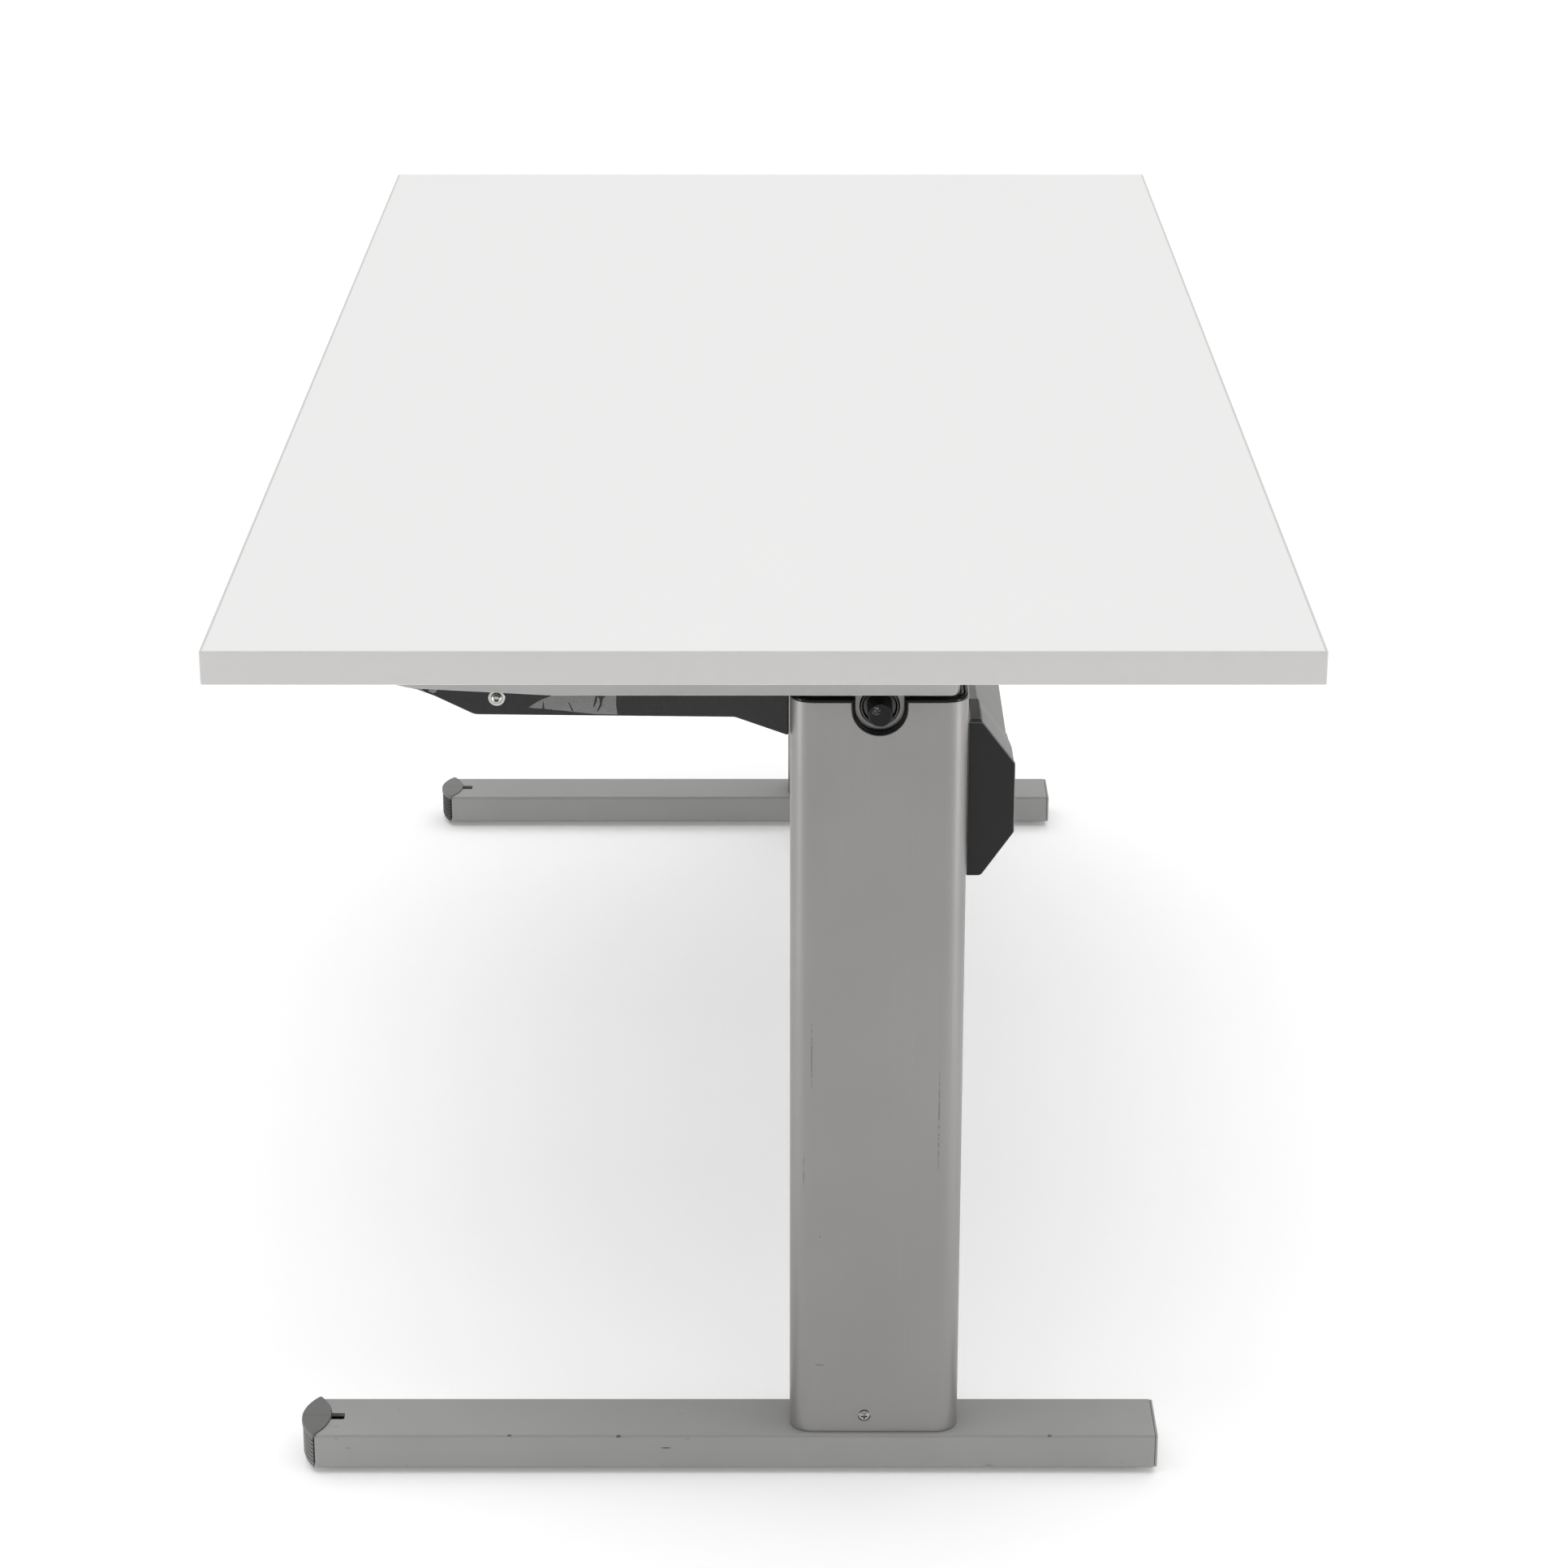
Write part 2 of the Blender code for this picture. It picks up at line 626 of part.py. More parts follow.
def cross_shaft():
    """Hexagonal bar through both column heads."""
    corner = SHAFT_FLATS / sqrt(3)
    return rod("cross_shaft", corner, "X", -SHAFT_END, SHAFT_END, (COLUMN_Y, DRIVE_Z), "bright_steel", sides=6)


def shaft_end_cap(side, name):
    """Push-on cap over the shaft's end, where the crank goes."""
    profile = [
        (0, 0.0394),
        (0.0080, 0.0394),
        (0.0090, 0.0384),
        (0.0092, 0.0200),
        (0.0061, 0.0200),
        (0.0061, 0.0360),
        (0, 0.0360),
    ]
    centre = (COLUMN_Y, DRIVE_Z)
    return turned(f"{name}_shaft_end_cap", profile, "X", side * COLUMN_X, centre, "black_plastic", 20, side)


def shaft_bush(side, name, face):
    """Flanged plastic bearing in a face of the inner tube. face is +1 on the desk's outer side."""
    profile = [
        (0.0143, 0.0214),
        (0.0143, 0.0171),
        (0.0061, 0.0171),
        (0.0061, 0.0186),
        (0.0118, 0.0186),
        (0.0126, 0.0207),
    ]
    centre = (COLUMN_Y, DRIVE_Z)
    return turned(name, profile, "X", side * COLUMN_X, centre, "black_plastic", 20, side * face)


def inner_column(side, name):
    tube = column_tube(side, f"{name}_inner_column", 2, INNER_LOW, INNER_TOP)
    x = side * COLUMN_X
    holes = rod(f"{name}_bush_holes", BUSH_HOLE, "X", x - 0.04, x + 0.04, (COLUMN_Y, DRIVE_Z), sides=20)
    return combine(tube, [holes])


def bearing_block(side, name):
    """Block in the inner tube's head. The spindle's shoulder pushes up on it, and so carries the top."""
    x = side * COLUMN_X
    section = column_section(2, COLUMN_WALL + GAP)
    centre = (x, COLUMN_Y)
    block = prism(f"{name}_bearing_block", [section], ALONG_Z, BLOCK_LOW, BLOCK_HIGH, centre, "zinc_steel")
    bore = rod(f"{name}_block_bore", JOURNAL_BORE, "Z", BLOCK_LOW - 0.01, BLOCK_HIGH + 0.01, centre, sides=16)
    return combine(block, [bore])


def support_arm(side, name):
    """Cast arm under the top. It deepens towards the column, and a plate closes the inner tube's head."""
    head = INNER_TOP + GAP
    outline = rounded(
        [
            (-0.312, ARM_TOP),
            (0.302, ARM_TOP),
            (0.302, 0.664),
            (0.160, head),
            (ARM_DEEP_END, head),
            (ARM_DEEP_END, 0.6080),
            (-0.0218, 0.6225),
            (-0.2125, 0.6245),
            (-0.2416, 0.6389),
            (-0.3060, 0.6640),
        ],
        (0, 0.002, 0.004, 0.004, 0, 0, 0.010, 0.012, 0.020, 0.006),
        4,
    )
    x = side * ARM_X
    arm = prism(
        f"{name}_support_arm", [outline], ALONG_X, x - ARM_HALF_WIDTH, x + ARM_HALF_WIDTH, kind="black_cast"
    )
    plate = prism(
        f"{name}_head_plate",
        [column_section(2)],
        ALONG_Z,
        head,
        head + HEAD_PLATE,
        (side * COLUMN_X, COLUMN_Y),
    )
    hole = rod(f"{name}_arm_screw_hole", ARM_SCREW_HOLE, "X", x, x + side * 0.03, ARM_SCREW, sides=16)
    combine(arm, [plate], "UNION")
    return combine(arm, [hole])


def arm_screw(side, name):
    """Button-head screw on a washer."""
    profile = [
        (0, 0.0046),
        (0.0020, 0.0046),
        (0.0038, 0.0036),
        (0.0046, 0.0018),
        (0.0046, 0.0014),
        (0.0060, 0.0014),
        (0.0060, GAP),
        (0.0030, GAP),
        (0.0030, -0.0100),
        (0, -0.0100),
    ]
    face = side * (ARM_X + ARM_HALF_WIDTH)
    return turned(f"{name}_arm_screw", profile, "X", face, ARM_SCREW, "zinc_steel", 14, side)


def side_rail(side, name):
    """Steel angle under the top, outboard of the arm. Its hanging flange tapers off towards the front."""
    flange = rounded(
        [
            (-0.312, ARM_TOP),
            (SIDE_RAIL_REAR, ARM_TOP),
            (SIDE_RAIL_REAR, SIDE_RAIL_LOW),
            (-0.1528, SIDE_RAIL_LOW),
            (-0.2559, 0.6573),
            (-0.3000, 0.6680),
        ],
        (0, 0, 0.004, 0.10, 0.04, 0.01),
        4,
    )
    outer, inner = side * SIDE_RAIL_FACE, side * (SIDE_RAIL_FACE - SIDE_RAIL_WALL)
    rail = prism(f"{name}_side_rail", [flange], ALONG_X, *sorted((inner, outer)), kind="light_grey_paint")
    seat = ARM_X + ARM_HALF_WIDTH + 0.0005
    xs = sorted((side * seat, side * (SIDE_RAIL_FACE - 0.001)))
    flat = box(
        f"{name}_side_rail_seat",
        (xs[0], -0.300, ARM_TOP - SIDE_RAIL_WALL),
        (xs[1], SIDE_RAIL_REAR - 0.0005, ARM_TOP - 0.0001),
    )
    return combine(rail, [flat], "UNION")


def top_rail(name, y):
    """Steel tube between the two arms, under the top."""
    end = ARM_X - ARM_HALF_WIDTH - 0.0004
    outer = rectangle(TOP_RAIL_HALF_WIDTH, TOP_RAIL_HALF_HEIGHT, 0.002, 2)
    inner = rectangle(TOP_RAIL_HALF_WIDTH - TOP_RAIL_WALL, TOP_RAIL_HALF_HEIGHT - TOP_RAIL_WALL)
    centre = (y, ARM_TOP - TOP_RAIL_HALF_HEIGHT - 0.0001)
    return prism(name, [outer, inner], ALONG_X, -end, end, centre, "black_cast")


def crossbeam():
    outlines = [shield(BEAM_INSET), shield(BEAM_INSET + BEAM_WALL)]
    return [prism("crossbeam", outlines, ALONG_X, -BEAM_END, BEAM_END, kind="light_grey_paint")]


def beam_bracket(side, name):
    """Sleeve round the beam's end, flared to the cover's size, with a flange bolted to the column."""
    sections = [(side * x, shield(inset)) for x, inset in BRACKET_SECTIONS]
    sleeve = loft(f"{name}_beam_bracket", sections, "light_grey_paint")
    inner_face = COLUMN_X - COLUMN_DEPTH_X / 2 - GAP
    xs = sorted((side * inner_face, side * (inner_face - BRACKET_FLANGE)))
    flange = box(f"{name}_bracket_flange", (xs[0], *BRACKET_LOW), (xs[1], *BRACKET_HIGH))
    bore = prism(f"{name}_bracket_bore", [shield(BEAM_INSET - GAP)], ALONG_X, side * 0.60, side * 0.72)
    holes = [
        rod(f"{name}_bracket_hole_{i}", BOLT_HOLE, "X", side * 0.66, side * 0.69, (BRACKET_BOLT_Y, z), sides=16)
        for i, z in enumerate(BRACKET_BOLTS_Z)
    ]
    combine(sleeve, [flange], "UNION")
    return combine(sleeve, [bore, *holes])


def bracket_bolt(side, name, z):
    """Flanged button-head bolt, driven outwards into the column's wall."""
    profile = [
        (0, 0.0055),
        (0.0040, 0.0055),
        (0.0062, 0.0040),
        (0.0068, 0.0022),
        (0.0085, 0.0016),
        (0.0085, GAP),
        (0.0040, GAP),
        (0.0040, -0.0062),
        (0, -0.0062),
    ]
    face = side * (COLUMN_X - COLUMN_DEPTH_X / 2 - GAP - BRACKET_FLANGE)
    return turned(name, profile, "X", face, (BRACKET_BOLT_Y, z), "zinc_steel", 12, -side)


def beam_cover(side, name):
    """Plastic cover over the beam's end, with a tongue that lies along the bracket's top."""
    xs = sorted((side * BEAM_CAP_FACE, side * (BEAM_CAP_FACE - COVER_PLATE)))
    cover = prism(f"{name}_beam_cover", [shield(0)], ALONG_X, *xs, kind="black_plastic")
    ends = sorted((side * TONGUE_END, side * COVER_EDGE))
    tongue = box(
        f"{name}_cover_tongue",
        (ends[0], TONGUE_Y[0], SHIELD[0][1] - GAP),
        (ends[1], TONGUE_Y[1], SHIELD[0][1] + TONGUE_RISE),
    )
    depths = sorted((side * PLUG_LOW[0], side * COVER_EDGE))
    plug = box(f"{name}_cover_plug", (depths[0], *PLUG_LOW[1:]), (depths[1], *PLUG_HIGH))
    return combine(cover, [tongue, plug], "UNION")


def joint_empty(name, location, pieces):
    """An empty on a joint's axis, with the pieces that move with it as its children."""
    empty = bpy.data.objects.new(name, None)
    empty.location = location
    empty.empty_display_size = 0.05
    DESK.objects.link(empty)
    bpy.context.view_layer.update()
    for piece in pieces:
        piece.parent = empty
        piece.matrix_parent_inverse = empty.matrix_world.inverted()
    return empty


def leg(side, name):
    """Everything that stands under one end of the top. Returns the pieces that rise and turn."""
    foot(side, name)
    front_cap(side, name)
    rear_cap(side, name)
    for place_name, y in (("front", LEVELLER_FRONT), ("rear", LEVELLER_REAR)):
        piece = leveller(side, f"{name}_{place_name}_leveller", y)
        joint_empty(f"{name}_{place_name}_leveller_screw", (side * LEG_X, y, 0), [piece])
    outer_column(side, name)
    collar(side, f"{name}_outer_collar", 0, OUTER_LIP)
    column_base(side, name)
    column_screw(side, name)
    spindle_nut(side, name)
    beam_bracket(side, name)
    beam_cover(side, name)
    for i, z in enumerate(BRACKET_BOLTS_Z):
        bracket_bolt(side, f"{name}_bracket_bolt_{'lower' if i == 0 else 'upper'}", z)
    middle = [
        column_tube(side, f"{name}_middle_column", 1, MIDDLE_LOW, RIM, notch=MIDDLE_NOTCH),
        collar(side, f"{name}_middle_collar", 1, MIDDLE_LIP),
    ]
    joint_empty(f"{name}_middle_slide", (side * COLUMN_X, COLUMN_Y, 0), middle)
    spindle_gear, shaft_gear = gears(side, name)
    turning = [spindle(side, name), spindle_gear]
    joint_empty(f"{name}_spindle_spin", (side * COLUMN_X, COLUMN_Y, DRIVE_Z), turning)
    rising = [
        inner_column(side, name),
        bearing_block(side, name),
        shaft_bush(side, f"{name}_outboard_bush", 1),
        shaft_bush(side, f"{name}_inboard_bush", -1),
        support_arm(side, name),
        arm_screw(side, name),
        side_rail(side, name),
    ]
    return rising, [shaft_gear, shaft_end_cap(side, name)]


def build():
    clear_scene()
    bpy.context.scene.collection.children.link(DESK)
    bpy.context.scene.collection.children.link(CUTTERS)
    rising = tabletop()
    rising += [top_rail(f"{end}_top_rail", y) for end, y in zip(("front", "rear"), TOP_RAILS_Y)]
    on_shaft = [cross_shaft()]
    for side, name in ((1, "right"), (-1, "left")):
        lifted, turning = leg(side, name)
        rising += lifted
        on_shaft += turning
    crossbeam()
    joint_empty("desk_lift", (0, 0, 0), rising)
    joint_empty("cross_shaft_spin", (0, COLUMN_Y, DRIVE_Z), on_shaft)


build()
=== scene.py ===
from functools import partial
from math import asin, cos, pi, radians, sin, sqrt, tan

import bmesh
import bpy
from mathutils import Matrix, Vector


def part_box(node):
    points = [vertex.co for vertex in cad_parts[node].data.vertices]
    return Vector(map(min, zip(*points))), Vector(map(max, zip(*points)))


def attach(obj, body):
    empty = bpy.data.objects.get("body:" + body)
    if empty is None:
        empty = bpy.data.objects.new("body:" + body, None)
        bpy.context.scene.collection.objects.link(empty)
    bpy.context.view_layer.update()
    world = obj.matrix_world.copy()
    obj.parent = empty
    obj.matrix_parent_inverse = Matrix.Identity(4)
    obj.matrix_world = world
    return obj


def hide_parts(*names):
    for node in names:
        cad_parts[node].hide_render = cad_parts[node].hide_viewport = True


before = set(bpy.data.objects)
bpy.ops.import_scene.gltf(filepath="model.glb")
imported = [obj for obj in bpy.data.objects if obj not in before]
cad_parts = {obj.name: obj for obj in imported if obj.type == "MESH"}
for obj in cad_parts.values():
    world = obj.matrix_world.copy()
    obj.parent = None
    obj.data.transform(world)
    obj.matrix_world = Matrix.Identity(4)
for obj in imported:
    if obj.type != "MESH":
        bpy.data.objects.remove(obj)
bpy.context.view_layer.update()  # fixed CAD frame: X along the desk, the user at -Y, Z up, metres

# Every piece of a leg is drawn for the right leg, in the frame's own places, and mirrored for the left one.
LEGS = ("right", "left")


# ---- finishes


class Finish:
    """A procedural material. Its textures lie in object space, so they stay with a piece that moves."""

    def __init__(self, name, roughness, metallic=0.0, **sockets):
        self.material = bpy.data.materials.new(name)
        self.material.use_nodes = True
        self.tree = self.material.node_tree
        self.shader = self.tree.nodes["Principled BSDF"]
        self.shader.inputs["Roughness"].default_value = roughness
        self.shader.inputs["Metallic"].default_value = metallic
        for socket, value in sockets.items():
            self.shader.inputs[socket.replace("_", " ")].default_value = value
        self.place = self.node("ShaderNodeTexCoord").outputs["Object"]

    def node(self, kind, settings=None, **inputs):
        """A new node. Inputs are numbers, colours, or outputs of other nodes."""
        made = self.tree.nodes.new(kind)
        for key, value in (settings or {}).items():
            setattr(made, key, value)
        for key, value in inputs.items():
            self.feed(made.inputs[key.replace("_", " ")], value)
        return made

    def feed(self, socket, value):
        if isinstance(value, bpy.types.NodeSocket):
            self.tree.links.new(value, socket)
        else:
            socket.default_value = value

    def math(self, operation, first, second=0.0):
        made = self.node("ShaderNodeMath", {"operation": operation})
        self.feed(made.inputs[0], first)
        self.feed(made.inputs[1], second)
        return made.outputs[0]

    def times(self, first, second):
        return self.math("MULTIPLY", first, second)

    def away(self, value, middle):
        """How far the value is from the middle."""
        return self.math("ABSOLUTE", self.math("SUBTRACT", value, middle))

    def facing(self):
        """The surface's own direction, as a node with an output for each axis."""
        return self.node("ShaderNodeSeparateXYZ", Vector=self.node("ShaderNodeNewGeometry").outputs["Normal"])

    def axis(self, name):
        return self.node("ShaderNodeSeparateXYZ", Vector=self.place).outputs[name]

    def noise(self, scale, detail=3.0, stretch=(1.0, 1.0, 1.0), shift=(0.0, 0.0, 0.0)):
        moved = self.node("ShaderNodeMapping", Vector=self.place, Scale=stretch, Location=shift)
        made = self.node("ShaderNodeTexNoise", Vector=moved.outputs[0], Scale=scale, Detail=detail)
        return made.outputs["Fac"]

    def ramp(self, source, low, high, start=0.0, end=1.0):
        """The source's span from low to high spread smoothly over start to end, and held beyond it."""
        settings = {"interpolation_type": "SMOOTHSTEP"}
        made = self.node("ShaderNodeMapRange", settings, Value=source)
        for key, value in (("From Min", low), ("From Max", high), ("To Min", start), ("To Max", end)):
            made.inputs[key].default_value = value
        return made.outputs["Result"]

    def mix(self, share, first, second):
        made = self.node("ShaderNodeMix", {"data_type": "RGBA"})
        self.feed(made.inputs["Factor"], share)
        for socket, value in zip(made.inputs[6:8], (first, second)):
            self.feed(socket, value if isinstance(value, bpy.types.NodeSocket) else (*value, 1.0))
        return made.outputs[2]

    def tint(self, share, tone, colour, factor):
        """The tone with a lighter or darker colour over a share of it."""
        return self.mix(share, tone, tinted(colour, factor))

    def colour(self, value):
        self.feed(self.shader.inputs["Base Color"], value)

    def roughness(self, source):
        self.feed(self.shader.inputs["Roughness"], source)

    def bump(self, *layers):
        """Relief from (height, depth in metres) layers, laid over each other."""
        normal = None
        for height, depth in layers:
            made = self.node("ShaderNodeBump", Height=height, Distance=depth)
            if normal is not None:
                self.feed(made.inputs["Normal"], normal)
            normal = made.outputs[0]
        self.feed(self.shader.inputs["Normal"], normal)

    def near(self, axes, middle, reach):
        """1 at a place and 0 beyond its reach. axes names the coordinates that count, such as 'YZ'."""
        total = 0.0
        for name, here, span in zip(axes, middle, reach):
            away = self.math("DIVIDE", self.math("SUBTRACT", self.axis(name), here), span)
            total = self.math("ADD", self.times(away, away), total)
        return self.ramp(total, 1.0, 0.55)

    def edges(self, width):
        """1 on the rounded edges of a piece and 0 on its flat faces."""
        rounded = self.node("ShaderNodeBevel", {"samples": 4}, Radius=width).outputs[0]
        flat = self.node("ShaderNodeNewGeometry").outputs["Normal"]
        alike = self.node("ShaderNodeVectorMath", {"operation": "DOT_PRODUCT"})
        self.feed(alike.inputs[0], rounded)
        self.feed(alike.inputs[1], flat)
        return self.ramp(alike.outputs["Value"], 0.995, 0.93)


def painted_corner_shade(made):
    """1 along the middle of a tube's rounded corners that run along Y, where painted shade goes."""
    normal = made.facing()
    slope = made.math("ABSOLUTE", made.times(normal.outputs["X"], normal.outputs["Z"]))
    return made.ramp(slope, 0.38, 0.48)


def tinted(colour, factor):
    return tuple(min(1.0, part * factor) for part in colour)


def laminate(name, colour):
    """Melamine board: a fine pearl relief and faint smears in the gloss."""
    made = Finish(name, 0.4)
    clouds = made.noise(3.5, 5.0)
    made.colour(made.mix(made.ramp(clouds, 0.3, 0.7), tinted(colour, 0.992), colour))
    made.roughness(made.ramp(made.noise(9.0, 6.0, shift=(3.1, 0.4, 0.0)), 0.3, 0.7, 0.42, 0.46))
    made.bump((made.noise(1500.0, 2.0), 0.00002))
    return made


def edge_band(colour):
    """Plastic edge strip, with the fine chatter that trimming leaves across it."""
    made = Finish("edge_band_plastic", 0.4)
    streaks = made.noise(60.0, 3.0, stretch=(1.0, 1.0, 0.05))
    made.colour(made.mix(made.ramp(streaks, 0.3, 0.7), tinted(colour, 0.985), colour))
    made.roughness(made.ramp(streaks, 0.3, 0.7, 0.36, 0.46))
    made.bump((made.noise(700.0, 2.0, stretch=(1.0, 1.0, 0.1)), 0.00001))
    return made


# Dark scratches on the columns' outer faces, as (y, z, half width, half height)
COLUMN_SCRATCHES = (
    (0.0353, 0.357, 0.0006, 0.031),
    (0.0294, 0.259, 0.0005, 0.018),
    (0.1320, 0.303, 0.0006, 0.048),
    (0.0422, 0.094, 0.0046, 0.0007),
    (0.0422, 0.205, 0.0008, 0.0008),
)


def column_paint(colour):
    """Smooth satin paint with a faint vertical grain, a few dark scratches and fine rubbing marks."""
    made = Finish("column_satin_paint", 0.42, metallic=0.5)
    grain = made.noise(260.0, 2.0, stretch=(1.0, 1.0, 0.02))
    clouds = made.noise(7.0, 4.0)
    hairs = made.noise(900.0, 2.0, stretch=(1.0, 1.0, 0.012), shift=(0.3, 0.2, 0.7))
    spread = made.noise(14.0, 3.0, shift=(1.3, 2.2, 0.6))
    rubs = made.times(made.ramp(hairs, 0.66, 0.72), made.ramp(spread, 0.54, 0.64))
    scratches = 0.0
    for y, z, wide, tall in COLUMN_SCRATCHES:
        scratches = made.math("MAXIMUM", made.near("YZ", (y, z), (wide, tall)), scratches)
    scratches = made.times(scratches, made.ramp(made.noise(420.0, 3.0), 0.34, 0.56))
    scratches = made.times(scratches, made.math("GREATER_THAN", made.axis("X"), OUTER.middle.x))
    base = made.mix(made.ramp(grain, 0.3, 0.7), tinted(colour, 0.99), tinted(colour, 1.01))
    base = made.mix(made.ramp(clouds, 0.35, 0.65), base, tinted(colour, 0.98))
    base = made.tint(made.times(rubs, 0.12), base, colour, 1.4)
    made.colour(made.tint(made.times(scratches, 0.55), base, colour, 0.3))
    made.roughness(made.ramp(clouds, 0.3, 0.7, 0.40, 0.46))
    made.bump((grain, 0.000002), (scratches, 0.00001))
    return made


def powder_coat(
    name, colour, roughness, grit=900.0, depth=0.00003, metallic=0.0, edge=1.5, share=0.2, marks=None
):
    """Baked paint: orange-peel relief, faint clouds in its tone, and edges of another tone, as worn paint; a
    large share of pale edge is a painted highlight.

    marks adds what only one kind of piece has.
    """
    made = Finish(name, roughness, metallic=metallic)
    clouds = made.noise(11.0, 4.0)
    peel = made.noise(grit, 2.0)
    tone = made.mix(made.ramp(clouds, 0.3, 0.7), tinted(colour, 0.96), tinted(colour, 1.02))
    # Paler edges: worn paint, and with a large share a painted highlight.
    wear = made.times(made.edges(0.0014), made.ramp(made.noise(70.0, 4.0), 0.38, 0.6, 0.3))
    tone = made.tint(made.times(wear, share), tone, colour, edge)
    made.colour(marks(made, colour, tone) if marks else tone)
    made.roughness(made.ramp(clouds, 0.3, 0.7, roughness - 0.03, roughness + 0.05))
    made.bump((peel, depth))
    return made


# Marks on the right foot, as (axes, place, reach): knocks in its side, and lines of old glue on its top
FOOT_KNOCKS = (
    ("XYZ", (0.7335, -0.0780, 0.0237), (0.003, 0.0055, 0.0007)),
    ("XYZ", (0.7325, -0.1146, 0.0335), (0.003, 0.0022, 0.0010)),
    ("XYZ", (0.7325, -0.1998, 0.0340), (0.002, 0.0020, 0.0008)),
    ("XYZ", (0.7325, 0.2217, 0.0338), (0.002, 0.0020, 0.0008)),
)
GLUE_LINES = (
    ("XY", (0.6880, -0.3150), (0.0006, 0.0055)),
    ("XY", (0.6990, -0.3175), (0.0006, 0.0040)),
    ("XY", (0.6940, -0.2890), (0.0060, 0.0006)),
)


def foot_marks(made, colour, tone):
    """Painted shade along the corners, small dark specks, and the right foot's knocks and glue lines."""
    # The corners are darkened here as painted shade.
    tone = made.mix(made.times(painted_corner_shade(made), 0.7), tone, tinted(colour, 0.78))
    spots = made.noise(160.0, 2.0, stretch=(1.0, 0.35, 1.0), shift=(0.6, 0.1, 0.9))
    places = made.noise(9.0, 2.0, shift=(0.2, 1.7, 0.3))
    specks = made.times(made.ramp(spots, 0.70, 0.76), made.ramp(places, 0.56, 0.62))
    tone = made.tint(made.times(specks, 0.4), tone, colour, 0.4)
    on_right = made.math("GREATER_THAN", made.axis("X"), 0.0)
    ragged = made.ramp(made.noise(500.0, 3.0), 0.36, 0.5)
    for group, share, factor in ((FOOT_KNOCKS, 0.85, 0.15), (GLUE_LINES, 0.3, 0.6)):
        mask = 0.0
        for axes, middle, reach in group:
            mask = made.math("MAXIMUM", made.near(axes, middle, reach), mask)
        mask = made.times(made.times(mask, ragged), made.times(on_right, share))
        tone = made.tint(mask, tone, colour, factor)
    return tone


def moulded_plastic(name, colour, roughness, depth=0.00001, gloss=0.5, rim=2.2, wear=0.15, detail=None):
    """Moulded plastic: a fine spark texture and paler edges, as rubbed wear; at a high rim and wear they are a
    painted highlight. detail adds what only one kind of piece has.
    """
    made = Finish(name, roughness, Specular_IOR_Level=gloss)
    clouds = made.noise(25.0, 4.0)
    tone = made.mix(made.ramp(clouds, 0.3, 0.7), tinted(colour, 0.93), tinted(colour, 1.05))
    # Paler edges: rubbed wear, and at a high rim and wear a painted highlight.
    rubbed = made.times(made.edges(0.0004), made.ramp(made.noise(130.0, 4.0), 0.38, 0.6, 0.3))
    tone = made.tint(made.times(rubbed, wear), tone, colour, rim)
    made.colour(detail(made, colour, tone) if detail else tone)
    made.roughness(made.ramp(clouds, 0.3, 0.7, roughness - 0.04, roughness + 0.05))
    made.bump((made.noise(1300.0, 2.0), depth))
    return made


def cap_lines_and_groove_shade(made, colour, tone, ridge=1.25):
    """The parting line over a foot cap's crown, and the ridges of its nose with painted shade in its grooves.
    """
    off_line = made.away(made.math("ABSOLUTE", made.axis("X")), FOOT.middle.x)
    tone = made.mix(made.ramp(off_line, 0.0008, 0.0002, 0.0, 0.55), tone, tinted(colour, 0.5))
    pitch = (NOSE_HIGH - NOSE_LOW) / RIBS
    level = made.math("DIVIDE", made.math("SUBTRACT", made.axis("Z"), NOSE_LOW), pitch)
    groove = made.ramp(made.away(made.math("FRACT", level), 0.5), 0.24, 0.08)
    in_nose = made.math("LESS_THAN", made.axis("Z"), NOSE_HIGH - 0.0016)
    # The grooves go near black: painted shade in them.
    ribbed = made.mix(made.times(groove, 0.9), tinted(colour, ridge), tinted(colour, 0.12 * ridge))
    return made.mix(in_nose, tone, ribbed)


def painted_rim_highlight(made, colour, tone):
    """A painted highlight along the rim of a beam cover's face, on its upper and rear sides."""
    normal = made.facing()
    out = made.math("ABSOLUTE", normal.outputs["X"])
    rim = made.times(made.ramp(out, 0.98, 0.90), made.ramp(out, 0.20, 0.45))
    rim = made.times(rim, made.ramp(normal.outputs["Z"], -0.25, 0.0))
    return made.tint(made.times(rim, 0.85), tone, colour, 18.0)


def hub_wear(made, colour, tone):
    """Pale specks where the crank has rubbed the right end cap."""
    rubbed = made.near("YZ", (DRIVE.y - 0.0030, DRIVE.z + 0.0030), (0.0036, 0.0038))
    specks = made.times(rubbed, made.ramp(made.noise(1600.0, 2.0), 0.56, 0.62))
    specks = made.times(specks, made.math("GREATER_THAN", made.axis("X"), 0.0))
    return made.tint(made.times(specks, 0.8), tone, colour, 60.0)


def cast_paint(colour):
    """Black textured paint on a casting: coarse soft grit with dust in its hollows."""
    made = Finish("black_cast_paint", 0.5, Specular_IOR_Level=0.4)
    grit = made.noise(620.0, 3.0)
    dust = made.times(made.ramp(made.noise(30.0, 5.0), 0.5, 0.75), made.ramp(grit, 0.55, 0.35))
    wear = made.times(made.edges(0.001), made.ramp(made.noise(80.0, 4.0), 0.4, 0.6))
    tone = made.mix(made.times(dust, 0.25), colour, tinted(colour, 3.0))
    made.colour(made.tint(made.times(wear, 0.35), tone, colour, 4.0))
    made.roughness(made.ramp(grit, 0.3, 0.7, 0.42, 0.58))
    made.bump((grit, 0.00006))
    return made


